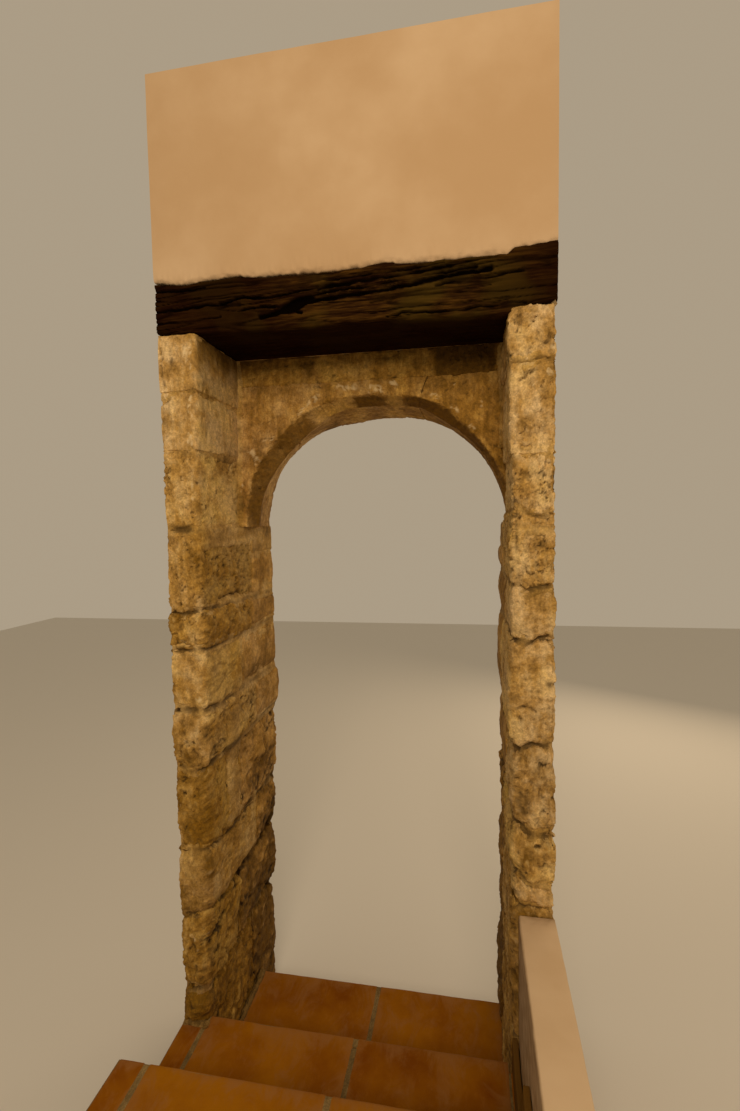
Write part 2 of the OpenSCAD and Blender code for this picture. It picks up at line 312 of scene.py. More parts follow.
def block_rings(plan, low, high, wear, swell, step, seed):
    """Rings and masks of a block from its plan and its bed heights.

    Wear is one size, or a low and a high one."""
    points, looks, shown = plan
    around = len(points)
    low, high = np.broadcast_to(low, around), np.broadcast_to(high, around)
    uneven = (1 + 0.55 * ripple(np.c_[points, low], 0.05, seed + 1)) * np.clip(shown, 0.15, 1)
    low_wear, high_wear = (size * uneven for size in np.broadcast_to(wear, 2))
    rim = [(1 - math.sin(a), 1 - math.cos(a)) for a in RIM_ANGLES]
    walls = even(0, 1, step / float(np.mean(high - low - low_wear - high_wear)))[1:-1]
    levels = [("low", *r) for r in rim] + [("wall", t, 0) for t in walls] + [("high", *r) for r in rim[::-1]]
    rings, worn, edge = [], [], []
    for kind, first, second in levels:
        if kind == "wall":
            height, inset = low + low_wear + (high - low - low_wear - high_wear) * first, 0 * low_wear
        elif kind == "low":
            height, inset = low + low_wear * second, low_wear * first
        else:
            height, inset = high - high_wear * second, high_wear * first
        share = np.clip((height - low) / (high - low), 0, 1)
        cushion = swell * (1 - np.abs(2 * share - 1) ** 2.6 - 0.6)
        moved = points + looks * ((cushion - inset) * np.clip(shown, 0, 1))[:, None]
        rings.append(np.c_[moved, height])
        worn.append(shown)
        edge.append(shown if kind != "wall" else 0 * shown)
    for end in (0, -1):
        ring = rings[end]
        centre = ring.mean(0)
        for scale in CAP_SCALES:
            inner = centre + (ring - centre) * (scale, scale, 1)
            for rows, row in ((rings, inner), (worn, 0 * shown), (edge, 0 * shown)):
                rows.insert(len(rows) if end else 0, row)
    return np.array(rings), np.array(worn), np.array(edge)


# %% [markdown]
# ## Weathering as a node tree
#
# Weathered limestone is rough at three sizes at once: broad lumps left by
# the chisel, a fine grain, and pits where soft bits have fallen out. The
# edges have also lost chips. Geometry Nodes do this well, because the same
# tree works on every stone and only its named sizes and its seed change.
# The tree moves each point along its normal and keeps how deep the point
# lies as an attribute, so that the material can darken the same pits with
# dirt and painted shade.

# %% Tree helpers
def new_tree(name, sizes):
    """A Geometry Nodes tree with one number input for each size. Returns it with its inputs by name."""
    tree = bpy.data.node_groups.new(name, "GeometryNodeTree")
    face = tree.interface
    face.new_socket("Geometry", in_out="INPUT", socket_type="NodeSocketGeometry")
    for label, value in sizes.items():
        face.new_socket(label, in_out="INPUT", socket_type="NodeSocketFloat").default_value = value
    face.new_socket("Material", in_out="INPUT", socket_type="NodeSocketMaterial")
    face.new_socket("Geometry", in_out="OUTPUT", socket_type="NodeSocketGeometry")
    return tree, tree.nodes.new("NodeGroupInput").outputs


def end_tree(tree, geometry, material):
    """Every tree ends in real geometry with its material on it."""
    real = add(tree, "GeometryNodeRealizeInstances", None, [geometry])
    painted = add(tree, "GeometryNodeSetMaterial", None, {"Geometry": real, "Material": material})
    add(tree, "NodeGroupOutput", None, [painted])


def shape(piece, tree, material, sizes):
    """Runs a tree on a piece, with some of its sizes changed, and keeps the result as a plain mesh."""
    modifier = piece.modifiers.new(tree.name, "NODES")
    modifier.node_group = tree
    values = {**sizes, "Material": material}
    for item in tree.interface.items_tree:
        if item.item_type == "SOCKET" and item.in_out == "INPUT" and item.name in values:
            modifier[item.identifier] = values[item.name]
    evaluated = piece.evaluated_get(bpy.context.evaluated_depsgraph_get())
    mesh = bpy.data.meshes.new_from_object(evaluated)
    piece.modifiers.clear()
    piece.data = mesh
    mesh.name = piece.name


def places(piece):
    """The places of a piece's points."""
    spots = np.zeros(len(piece.data.vertices) * 3)
    piece.data.vertices.foreach_get("co", spots)
    return spots.reshape(-1, 3)


def value_of(piece, label):
    """A value of each of a piece's points."""
    values = np.zeros(len(piece.data.vertices), np.float32)
    piece.data.attributes[label].data.foreach_get("value", values)
    return values


def write_values(piece, **values):
    """Keeps values for a piece's material to read.

    Tone goes from pale, 0, to dark, 1. Gold makes the stone yellower, and the soil value darkens it with dirt
    and, in places, with painted shade."""
    count = len(piece.data.vertices)
    for label, value in values.items():
        layer = piece.data.attributes.get(label) or piece.data.attributes.new(label, "FLOAT", "POINT")
        layer.data.foreach_set("value", np.broadcast_to(value, count).astype(np.float32))


def settle(piece, nodes, sharp=60, tone=0.5, gold=0.0):
    """Keeps a piece inside the solids' box, sets its shading, gives it a tone and gold if it has none, hangs it
    under the root and hides the solids that it replaces.
    """
    mesh = piece.data
    mesh.vertices.foreach_set("co", np.clip(places(piece), low_bound, high_bound).ravel())
    mesh.shade_smooth()
    mesh.set_sharp_from_angle(angle=math.radians(sharp))
    if "tone" not in mesh.attributes:
        write_values(piece, tone=tone, gold=gold)
    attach(piece, "root")
    if nodes:
        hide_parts(*nodes)
    print(f"{piece.name}: {len(mesh.polygons)} faces")


# %% Weathering: lumps, grain, pits, chips and worm tracks
tree, given = new_tree("worn_stone", {
    "Seed": 1.0, "Lump Size": 70 * MM, "Lump Depth": 4 * MM, "Grain Size": 16 * MM, "Grain Depth": 1.6 * MM,
    "Pit Size": 13 * MM, "Pit Depth": 5 * MM, "Pit Share": 0.4, "Chip Depth": 7 * MM, "Upright Grain": 1.0,
    "Inward Grain": 0.6, "Worm Size": 26 * MM, "Worm Depth": 0.0,
})
spot = add(tree, "GeometryNodeInputPosition")
lump_scale, grain_scale, pit_scale, worm_scale = (add(tree, "Math", DIVIDE, [1.0, given[f"{kind} Size"]])
    for kind in ("Lump", "Grain", "Pit", "Worm"))
stretch = add(tree, "CombineXYZ", None, [1.0, given["Inward Grain"], given["Upright Grain"]])
drawn = add(tree, "VectorMath", MULTIPLY, [spot, stretch])
lump = add(tree, "TexNoise", NOISE_4D,
           {"Vector": drawn, "W": given["Seed"], "Scale": lump_scale, "Detail": 2.0})
grain = add(tree, "TexNoise", NOISE_4D,
            {"Vector": drawn, "W": given["Seed"], "Scale": grain_scale, "Detail": 4.0, "Roughness": 0.62})
pit_spread = add(tree, "Math", MULTIPLY, [pit_scale, 0.22])
pit_patch = add(tree, "TexNoise", NOISE_4D,
                {"Vector": spot, "W": given["Seed"], "Scale": pit_spread, "Detail": 1.0})
pit_field = add(tree, "TexNoise", NOISE_4D,
                {"Vector": drawn, "W": given["Seed"], "Scale": pit_scale, "Detail": 2.5, "Roughness": 0.6,
                 "Distortion": 0.7})
pit_hole = add(tree, "MapRange", SMOOTH, {"Value": pit_field, "From Min": 0.47, "From Max": 0.3})
share_left = add(tree, "Math", SUBTRACT, [0.78, given["Pit Share"]])
share_right = add(tree, "Math", SUBTRACT, [0.9, given["Pit Share"]])
pit_chosen = add(tree, "MapRange", SMOOTH,
                 {"Value": pit_patch, "From Min": share_left, "From Max": share_right})
pit = add(tree, "Math", MULTIPLY, [pit_hole, pit_chosen])
chip_noise = add(tree, "TexNoise", NOISE_4D,
                 {"Vector": spot, "W": given["Seed"], "Scale": 1 / (34 * MM), "Detail": 2.0})
chip = add(tree, "MapRange", SMOOTH, {"Value": chip_noise, "From Min": 0.5, "From Max": 0.66})
edge, worn_mask, mark = (
    add(tree, "GeometryNodeInputNamedAttribute", None, {"Name": label}) for label in ("edge", "worn", "mark"))
chipped = add(tree, "Math", MULTIPLY, [chip, edge])
worm_noise = add(tree, "TexNoise", NOISE_4D,
                 {"Vector": drawn, "W": given["Seed"], "Scale": worm_scale, "Detail": 2.0, "Distortion": 0.6})
worm_side = add(tree, "Math", SUBTRACT, [worm_noise, 0.5])
worm_near = add(tree, "Math", ABSOLUTE, [worm_side])
worm = add(tree, "MapRange", SMOOTH, {"Value": worm_near, "From Min": 0.045, "From Max": 0.008})
worm_cut = add(tree, "Math", MULTIPLY, [worm, pit_chosen])

# %% Weathering: moving the points
NOISE_SPREAD = 0.25
moves = {}
for kind, height, zero in (("Lump", lump, 0.5), ("Grain", grain, 0.5), ("Pit", pit, 0.0),
                           ("Chip", chipped, 0.0), ("Worm", worm_cut, 0.0)):
    centred = add(tree, "Math", SUBTRACT, [height, zero])
    moves[kind] = add(tree, "Math", MULTIPLY, [centred, given[f"{kind} Depth"]])
swells = add(tree, "Math", ADD, [moves["Lump"], moves["Grain"]])
full_swells = add(tree, "Math", MULTIPLY, [swells, 1 / NOISE_SPREAD])
pits_and_chips = add(tree, "Math", ADD, [moves["Pit"], moves["Chip"]])
losses = add(tree, "Math", ADD, [pits_and_chips, moves["Worm"]])
raised = add(tree, "Math", SUBTRACT, [full_swells, losses])
masked = add(tree, "Math", MULTIPLY, [raised, worn_mask])
outwards = add(tree, "GeometryNodeInputNormal")
offset = add(tree, "VectorMath", SCALE, {"Vector": outwards, "Scale": masked})
moved = add(tree, "GeometryNodeSetPosition", None, {"Geometry": given["Geometry"], "Offset": offset})

# %% Weathering: values for the material
RELIEF_SHOWN = 5 * MM
WORM_DEPTH_SHOWN = 14 * MM
LUMP_SHARE_LEFT_OUT = 0.65
# The hollow value darkens pits, low grain, worm tracks and cracks with dirt and painted shade, and the relief
# value pales raised parts with wear and a painted highlight.
low_grain = add(tree, "MapRange", SMOOTH, {"Value": grain, "From Min": 0.5, "From Max": 0.28, "To Max": 0.42})
worm_depth_share = add(tree, "Math", TIMES_CLAMPED, [moves["Worm"], 1 / WORM_DEPTH_SHOWN])
pit_shade = add(tree, "Math", MULTIPLY, [pit, 0.42])
pit_or_grain = add(tree, "Math", MAXIMUM, [pit_shade, low_grain])
dark = add(tree, "Math", MAXIMUM, [pit_or_grain, worm_depth_share])
dark_or_cut = add(tree, "Math", MAXIMUM, [dark, mark])
dark_shown = add(tree, "Math", MULTIPLY, [dark_or_cut, worn_mask])
lump_lift = add(tree, "Math", MULTIPLY, [moves["Lump"], LUMP_SHARE_LEFT_OUT / NOISE_SPREAD])
lump_free = add(tree, "Math", SUBTRACT, [raised, lump_lift])
relief_seen = add(tree, "Math", MULTIPLY, [lump_free, worn_mask])
relief = add(tree, "Math", DIVIDE, [relief_seen, RELIEF_SHOWN])
kept = moved
for label, value in (("hollow", dark_shown), ("relief", relief)):
    kept = add(tree, "GeometryNodeStoreNamedAttribute", POINT_VALUE,
               {"Geometry": kept, "Name": label, "Value": value})
end_tree(tree, kept, given["Material"])
worn_stone = tree
print("weathering tree:", len(tree.nodes), "nodes")

# %% [markdown]
# ## Limestone and mortar
#
# The quoins are a soft yellow limestone, hewn by hand and never painted.
# Iron in it gives golden clouds, rain and hands have drawn streaks down it,
# and lamp smoke has left olive brown stains. Its hollows are darkened with
# dirt and with painted shade, its ridges are paled by wear and by a painted
# highlight, and towards the floor it is darkened with painted shade. Fresh
# breaks are pale, and pale marks along worn edges are painted highlights.
# It has no shine at all, so its roughness is high and only a fine bump
# catches the light. Lime mortar is the same kind of mix, with less colour
# and a sandy grain, so one function paints them all. It reads the values
# that the weathering tree and `write_values` keep at each point.

# %% Starting and ending a material
def new_paint(name):
    """An empty material, its tree, and the Object coordinates that all its patterns start from."""
    paint = bpy.data.materials.new(name)
    paint.use_nodes = True
    paint.node_tree.nodes.clear()
    here = add(paint.node_tree, "TexCoord").node.outputs["Object"]
    return paint, paint.node_tree, here


def end_paint(tree, colour, roughness, bump, ior, specular):
    """Every material ends in one shader, where the numbers that are the same all over are set."""
    surface = add(tree, "BsdfPrincipled", None,
                  {"Base Color": colour, "Roughness": roughness, "Normal": bump, "IOR": ior})
    surface.node.inputs["Specular IOR Level"].default_value = specular
    add(tree, "OutputMaterial", None, {"Surface": surface})


# %% Mineral materials
LOW_SHADE_TOP = 1300 * MM
STREAK_SIZE, CRUMB_SIZE, SAND_SIZE = 16 * MM, 10 * MM, 4 * MM
GOLD_TINT = (1.03, 0.96, 0.5, 1.0)
FRESH_BREAK_AND_HIGHLIGHT = "#ecd5a6"
FLATTENED = (1.0, 0.6, 0.85)
RUBBLE_STRETCH = (1.0, 1.0, 1.8)
RUBBLE_SIZE = 120 * MM


def rubble_cells(tree, place):
    """Random stones in a wall: the distance to the nearest joint, and a random value for each stone."""
    coursed = add(tree, "VectorMath", MULTIPLY, [place, RUBBLE_STRETCH])
    size = {"Vector": coursed, "Scale": 1 / RUBBLE_SIZE, "Randomness": 0.85}
    joint = add(tree, "TexVoronoi", {"feature": "DISTANCE_TO_EDGE"}, size)
    chance = add(tree, "TexVoronoi", {"feature": "F1"}, size).node.outputs["Color"]
    return joint, add(tree, "SeparateXYZ", None, [chance]).node.outputs["X"]


def mineral(name, pale, warm, dark, stain_and_shade_colour, pit_colour, cloud=70 * MM, streaky=0.9, stain_share=0.5,
            rubble=False):
    """Stone or mortar: clouds between three colours, streaks, stains, pits darkened with dirt and painted
    shade, ridges paled by wear and a painted highlight, painted shade towards the floor, and a gritty matt
    surface.
    """
    paint, tree, here = new_paint(name)
    tone_value, gold, soil, hollow, relief, mark = (
        add(tree, "Attribute", {"attribute_name": label}).node.outputs["Fac"]
        for label in ("tone", "gold", "soil", "hollow", "relief", "mark"))
    if rubble:
        joint, chance = rubble_cells(tree, here)
        tone_value = add(tree, "Math", TIMES_PLUS, [chance, 0.9, 0.1])
        soil = add(tree, "MapRange", SMOOTH, {"Value": joint, "From Min": 0.1, "From Max": 0.02})
    bedded = add(tree, "VectorMath", MULTIPLY, [here, FLATTENED])
    moved_here = add(tree, "VectorMath", ADD, [bedded, (0.31, 0.17, 0.05)])
    drawn_down = add(tree, "VectorMath", MULTIPLY, [bedded, (1, 1, 0.2)])
    clouds = add(tree, "TexNoise", None,
                 {"Vector": bedded, "Scale": 1 / cloud, "Detail": 5.0, "Roughness": 0.62})
    streaks = add(tree, "TexNoise", None,
                  {"Vector": drawn_down, "Scale": 1 / STREAK_SIZE, "Detail": 4.0, "Roughness": 0.6})
    height = add(tree, "SeparateXYZ", None, [here]).node.outputs["Z"]
    # Painted shade: the colour darkens from this height down to the floor.
    painted_low_shade = add(tree, "MapRange", SMOOTH,
               {"Value": height, "From Min": LOW_SHADE_TOP, "From Max": 0.0, "To Max": 0.4})
    cloud_share = add(tree, "Math", TIMES_PLUS, [clouds, 3.0, -1.5])
    streak_share = add(tree, "Math", TIMES_PLUS, [streaks, streaky, -0.5 * streaky])
    varied = add(tree, "Math", ADD, [cloud_share, streak_share])
    toned_share = add(tree, "Math", ADD, [varied, tone_value])
    mixed_share = add(tree, "Math", ADD_CLAMPED, [toned_share, painted_low_shade])
    first_half = add(tree, "MapRange", None, {"Value": mixed_share, "From Max": 0.5})
    second_half = add(tree, "MapRange", None, {"Value": mixed_share, "From Min": 0.5})
    lighter = add(tree, "Mix", COLOUR, {"Factor": first_half, "A": linear(pale), "B": linear(warm)})
    base = add(tree, "Mix", COLOUR, {"Factor": second_half, "A": lighter, "B": linear(dark)})
    stains = add(tree, "TexNoise", None,
                 {"Vector": moved_here, "Scale": 0.8 / cloud, "Detail": 6.0, "Roughness": 0.68})
    stained = add(tree, "MapRange", SMOOTH,
                  {"Value": stains, "From Min": 0.78 - stain_share * 0.5, "From Max": 1.0 - stain_share * 0.5,
                   "To Max": 0.55})
    # The soil value holds dirt and stains, and in places painted shade: under the timber and on the chamfer.
    darkened = add(tree, "Math", ADD_CLAMPED, [stained, soil])
    soiled = add(tree, "Mix", COLOUR, {"Factor": darkened, "A": base, "B": linear(stain_and_shade_colour)})
    crumbs = add(tree, "TexNoise", None,
                 {"Vector": bedded, "Scale": 1 / CRUMB_SIZE, "Detail": 6.0, "Roughness": 0.72})
    mottle = add(tree, "MapRange", None,
                 {"Value": crumbs, "From Min": 0.35, "From Max": 0.65, "To Min": 0.72, "To Max": 1.28})
    fine = add(tree, "TexNoise", None,
               {"Vector": here, "Scale": 1 / SAND_SIZE, "Detail": 3.0, "Roughness": 0.6})
    shade = add(tree, "MapRange", None,
                {"Value": fine, "From Min": 0.3, "From Max": 0.7, "To Min": 0.8, "To Max": 1.2})
    shades = add(tree, "Math", MULTIPLY, [mottle, shade])
    shaded = add(tree, "Mix", TINT, {"Factor": 1.0, "A": soiled, "B": shades})
    # Wear and painted highlight: raised relief is mixed towards the pale colour.
    rubbed_and_highlit = add(tree, "MapRange", SMOOTH, {"Value": relief, "From Min": 0.1, "From Max": 1.0, "To Max": 0.6})
    paled_and_highlit = add(tree, "Mix", COLOUR, {"Factor": rubbed_and_highlit, "A": shaded, "B": linear(pale)})
    gold_cloud = add(tree, "Math", TIMES_PLUS, [stains, -2.4, 1.2])
    gold_share = add(tree, "Math", ADD_CLAMPED, [gold_cloud, gold])
    gilded = add(tree, "Mix", TINT, {"Factor": gold_share, "A": paled_and_highlit, "B": GOLD_TINT})
    # Pale flakes, and along worn edges a painted highlight, are mixed in from the marks.
    flake_and_highlight_share = add(tree, "MapRange", SMOOTH,
                {"Value": mark, "From Min": -0.15, "From Max": -0.9, "To Max": 0.55})
    flaked_and_highlit = add(tree, "Mix", COLOUR, {"Factor": flake_and_highlight_share, "A": gilded, "B": linear(FRESH_BREAK_AND_HIGHLIGHT)})
    # Dirt and painted shade: hollows and sunken relief are mixed towards the pit colour.
    sunk = add(tree, "MapRange", SMOOTH,
               {"Value": relief, "From Min": -0.15, "From Max": -1.5, "To Max": 0.62})
    dirt_and_shade = add(tree, "Math", TIMES_PLUS_CLAMPED, [hollow, 0.85, sunk])
    final = add(tree, "Mix", COLOUR, {"Factor": dirt_and_shade, "A": flaked_and_highlit, "B": linear(pit_colour)})
    rough = add(tree, "Math", ADD, [fine, crumbs])
    bump = add(tree, "Bump", None, {"Strength": 0.8, "Distance": 3.0 * MM, "Height": rough})
    end_paint(tree, final, 0.92, bump, ior=1.5, specular=0.25)
    return paint


# Yellow limestone, hewn with a point and rubbed by hands: pale ridges from wear and a painted highlight, golden
# clouds, pits dark with dirt and painted shade, no shine.
hewn_limestone = mineral("hewn_limestone", "#d9bb88", "#b59054", "#7d5c1e", "#7f5d12", "#3c2a0c")
# The same stone, dressed flatter for the arch and smoked: browner, with long upright streaks.
arch_limestone = mineral("arch_limestone", "#c3a06a", "#9b7743", "#72541d", "#6b4c10", "#34240a", streaky=1.2)
# Limestone as it was quarried, wiped over with mortar: dull ochre, almost black in its hollows with dirt and
# painted shade.
rubble_limestone = mineral("rubble_limestone", "#c29c62", "#9b763a", "#6b4d16", "#66490f", "#2b1d07")
# Lime mortar, pressed in and struck off with a trowel: paler and more even than the stones.
lime_mortar = mineral("lime_mortar", "#cbab74", "#a5834a", "#735829", "#7a5f30", "#2c1e08", streaky=0.5,
                      stain_share=0.35)
# Rubble masonry, stones as found in thick joints: a tone for each stone, and pale mortar between.
coursed_rubble = mineral("coursed_rubble", "#b8945c", "#937036", "#604511", "#a98d5c", "#2b1d07", rubble=True)
# Tile grout, wiped level and walked on: a flat grey brown.
grey_grout = mineral("grey_grout", "#9c8454", "#876f43", "#6e5830", "#745c34", "#4a3a1c", streaky=0.2)
print("mineral materials:", [m.name for m in bpy.data.materials])

# %% [markdown]
# ## The quoins of the two piers
#
# Each pier is a stack of eleven large stones. The upright corner between the
# near face and the reveal is knocked about more near the floor, where people
# and loads have brushed it for centuries, and the lowest stones have become
# almost boulders. The stones differ in how they weathered: smooth with
# upright tool marks at the top left, sponge-like half way up, lumpy below.
#
# The right pier is made as a left pier and turned over, because then one
# function serves both. `loft` looks at the volume of the skin and turns its
# faces round if they look inwards.

# %% Bed joints and wear
QUOINS, LOW_QUOINS = 11, 8
ARRIS_TOP, ARRIS_FOOT = 10 * MM, 44 * MM
PIER_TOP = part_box(f"left_quoin_{QUOINS}")[1].z
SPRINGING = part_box("left_springer")[0].z
WALL_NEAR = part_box("near_plaster")[0].y
WALL_SIDE = high_bound[0]
FACE_WIDTH = 105
SIDES = ("left", "right")
BEDS = {side: [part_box(f"{side}_quoin_{n}")[0].z for n in range(1, QUOINS + 1)] + [PIER_TOP] for side in SIDES}
# Thickness of the joints in millimetres, from the floor up. Some are thicker on the reveal.
JOINT_GAPS = {"left": [0, 6, 6, 6, 6, 7, 5, 6, 8, 1, 1, 0], "right": [0, 4, 4, 8, 10, 11, 7, 5, 4, 1, 3, 0]}
REVEAL_GAPS = {1: 9, 2: 13, 3: 8, 4: 3}
# How far a bed joint lies over or under its level, at stops round the pier, all in millimetres.
BED_LINES = {
    "left": {1: [(0, 4), (40, -2), (166, -14)], 2: [(0, -5), (49, 3), (90, 12), (165, -1)],
             3: [(0, -5), (40, 2), (131, 2), (189, -14)],
             4: [(0, 8), (16, 5), (40, -17), (65, -15), (112, 7), (245, 7)],
             5: [(0, 9), (41, 3), (123, 6), (186, -4)], 6: [(0, 1), (35, -3), (97, 4), (169, -3)],
             7: [(0, 13), (22, 4), (55, 0), (105, 9), (177, 5), (300, -1)],
             8: [(0, 8), (10, 3), (42, -3), (85, -1)]},
    "right": {3: [(0, 4), (39, 8), (54, 2), (72, 17), (90, 35)], 4: [(11, -1), (55, 0), (72, 10), (90, 22)],
              5: [(3, -1), (33, -7), (53, -4), (77, -12)],
              6: [(6, 7), (25, 16), (40, 14), (53, 2), (66, -1), (81, 6)],
              7: [(0, 9), (12, 4), (40, -1), (66, -7), (83, 4)],
              8: [(7, 24), (19, 15), (40, 12), (68, 21), (83, 30)],
              10: [(6, -9), (27, -1), (47, -2), (60, -7)]},
}
print("bed joints of the left pier:", [round(bed, 3) for bed in BEDS["left"]])


def way_round(points):
    """How far points lie from the pier's outer side, along its near face and then along its reveal."""
    return WALL_SIDE - np.abs(points[..., 0]) + points[..., 1] - WALL_NEAR


def bed_height(side, number, points):
    """Height of a bed joint at plan points. The floor and the timber are level."""
    level = BEDS[side][number]
    if number in (0, QUOINS):
        return np.full(len(points), level)
    line = np.array(BED_LINES[side].get(number, [(0, 0)]), float).T
    offset = np.interp(way_round(points) / MM, *line)
    spots = np.c_[points, np.full(len(points), level * 4)]
    return level + (offset + 3.5 * ripple(spots, 0.14, 11) + 2.0 * ripple(spots, 0.04, 12)) * MM


def reveal_share(points):
    """1 at plan points on the reveal, 0 on the near face and on the plain outer side."""
    past_arris = np.clip((way_round(points) / MM - FACE_WIDTH) / 15, 0, 1)
    return past_arris * np.clip((WALL_SIDE - np.abs(points[..., 0])) / (20 * MM) - 1, 0, 1)


def joint_gap(side, number, points):
    """How thick a bed joint is at plan points. Near the floor the joints have opened on the reveal."""
    return (JOINT_GAPS[side][number] + REVEAL_GAPS.get(number, 0) * reveal_share(points)) * MM


def arris_radius(height):
    """Radius of the worn upright corner at a height."""
    return ARRIS_FOOT + (ARRIS_TOP - ARRIS_FOOT) * min(1.0, height / PIER_TOP) ** 0.8


def low_share(height):
    """0 at the top of a pier and 1 at the floor, where the stones are worn most."""
    return 1 - min(1.0, height / PIER_TOP)


LOOK_NAMES = {"lump": "Lump Depth", "grain": "Grain Depth", "pits": "Pit Depth", "chips": "Chip Depth",
              "worms": "Worm Depth", "lump_size": "Lump Size", "grain_size": "Grain Size",
              "pit_size": "Pit Size", "worm_size": "Worm Size", "pit_share": "Pit Share",
              "upright": "Upright Grain", "inward": "Inward Grain"}
PLAIN_NUMBERS = ("pit_share", "upright", "inward")


def weather(piece, material, seed, **look):
    """The weathering tree with short names for its inputs. Sizes and depths are given in millimetres."""
    sizes = {LOOK_NAMES[key]: value * (1 if key in PLAIN_NUMBERS else MM) for key, value in look.items()}
    shape(piece, worn_stone, material, {"Seed": float(seed), **sizes})


# %% Cracks and flakes
WHOLE_CRACK, WHOLE_FLAKE, LUMP_HEIGHT = 7, 3.5, 5


def line_distance(spots, path):
    """Distance of each spot from a line through a few stops, or from one stop."""
    stops = np.array(path, float)
    nearest = np.linalg.norm(spots - stops[0], axis=1)
    for start, end in zip(stops, stops[1:]):
        along = end - start
        share = np.clip((spots - start) @ along / (along @ along), 0, 1)
        nearest = np.minimum(nearest, np.linalg.norm(spots - start - share[:, None] * along, axis=1))
    return nearest


def dents(spots, marks, seed):
    """Depth in millimetres of cracks and flakes at spots on a flat face, and their mark.

    A mark of 1 is a dark crack and one of -1 is a pale flake; pale marks along a worn edge are painted
    highlights. Each of the marks has a width, a depth, which is negative where it stands proud, and its stops.
    A deep one is whole and a shallow one comes and goes. What stands out by a lump's height keeps the stone's
    colour."""
    spread = np.c_[spots, np.zeros(len(spots))]
    shaken = spots + 2.6 * np.c_[ripple(spread, 15, seed), ripple(spread, 15, seed + 1)]
    cut, raised, dark, pale = np.zeros((4, len(spots)))
    broken = np.clip(0.75 + 1.3 * ripple(spread, 11, seed + 2), 0, 1)
    ragged = np.clip(0.9 + 2.2 * ripple(spread, 8, seed + 3), 0, 1)
    for width, full, path in marks:
        near = np.exp(-(line_distance(shaken, path) / width) ** 2)
        near *= 1 if abs(full) > WHOLE_CRACK else broken
        if full > 0:
            cut, dark = np.maximum(cut, full * near), np.maximum(dark, near)
        else:
            flake_and_highlight = near * (ragged if full > -WHOLE_FLAKE else 1)
            raised, pale = raised - full * near, np.maximum(pale, flake_and_highlight * (full > -LUMP_HEIGHT))
    return cut - raised, np.where(dark > 0.3, dark, dark - pale)


# %% One block and one pier stone
def block(name, corners, low, high, wear, swell, step, seed, warp=None, marks=None):
    """A block over an outline, which a warp may bend into place.

    Each bed is one height, or a function that gives the heights at plan points. Marks come
    with the function that lays the face flat, and with the signs that turn the plan over."""
    points, looks, shown = outline(corners)
    beds = [bed(points) if callable(bed) else bed for bed in (low, high)]
    rings, worn, edge_mask = block_rings((points, looks, shown), *beds, wear, swell, step, seed)
    if warp:
        rings = warp(rings)
    mark = None
    if marks:
        lines, lay_flat, turn = marks
        flat = rings.reshape(-1, 3)
        depth, mark = dents(lay_flat(flat) / MM, lines, seed)
        shown_depth = depth * MM * np.ravel(worn)
        flat[:, :2] -= np.tile(looks, (len(rings), 1)) * turn * shown_depth[:, None]
        mark = (mark * np.ravel(worn)).reshape(rings.shape[:2])
    return loft(name, rings, worn, edge_mask, mark)


PLAIN_SIDE_BACK = 4 * MM
THICK_JOINTS = {("left", LOW_QUOINS): 27 * MM}


def pier_corners(outer, face, near, heel, arris, steps):
    """Plan of a pier stone, whose near and reveal sides are seen."""
    plain = outer + PLAIN_SIDE_BACK
    return [
        (plain, near, 2 * MM, steps[0], 1), (face, near, arris, steps[1], 1),
        (face, heel, 7 * MM, 60 * MM, 0), (plain, heel, 2 * MM, 14 * MM, 0.7),
    ]


def unrolled(points):
    """A pier's near face and reveal laid out flat: the way round, and the height."""
    return np.c_[way_round(points), points[:, 2]]


def soot_and_shade_below(spots, top, reach):
    """Painted shade and soot under the timber: all of it at the top, and none further down than the reach."""
    return np.clip((spots[:, 2] - top) / reach + 1 + 0.5 * ripple(spots, 0.05, 10), 0, 1) ** 1.5


def tint_stone(stone, tone, gold, near_soil, reveal_soil):
    """Sets the colour values of a pier stone. The side in the reveal is paler, and may be more stained."""
    spots = places(stone)
    way = way_round(spots[:, :2]) / MM + 9 * ripple(spots, 0.03, 8)
    on_reveal = np.clip((way - FACE_WIDTH + 1) / 14, 0, 1)
    # Painted shade and soot: the top of the reveal, under the timber, is darkened.
    soot_and_shade = on_reveal * soot_and_shade_below(spots, PIER_TOP, 100 * MM)
    write_values(stone, tone=tone + (0.6 * soot_and_shade - 0.3) * on_reveal, gold=gold + 0.3 * on_reveal,
                 soil=np.clip(near_soil + (reveal_soil - near_soil) * on_reveal + 0.8 * soot_and_shade, 0, 1),
                 hollow=value_of(stone, "hollow") + 0.45 * soot_and_shade)


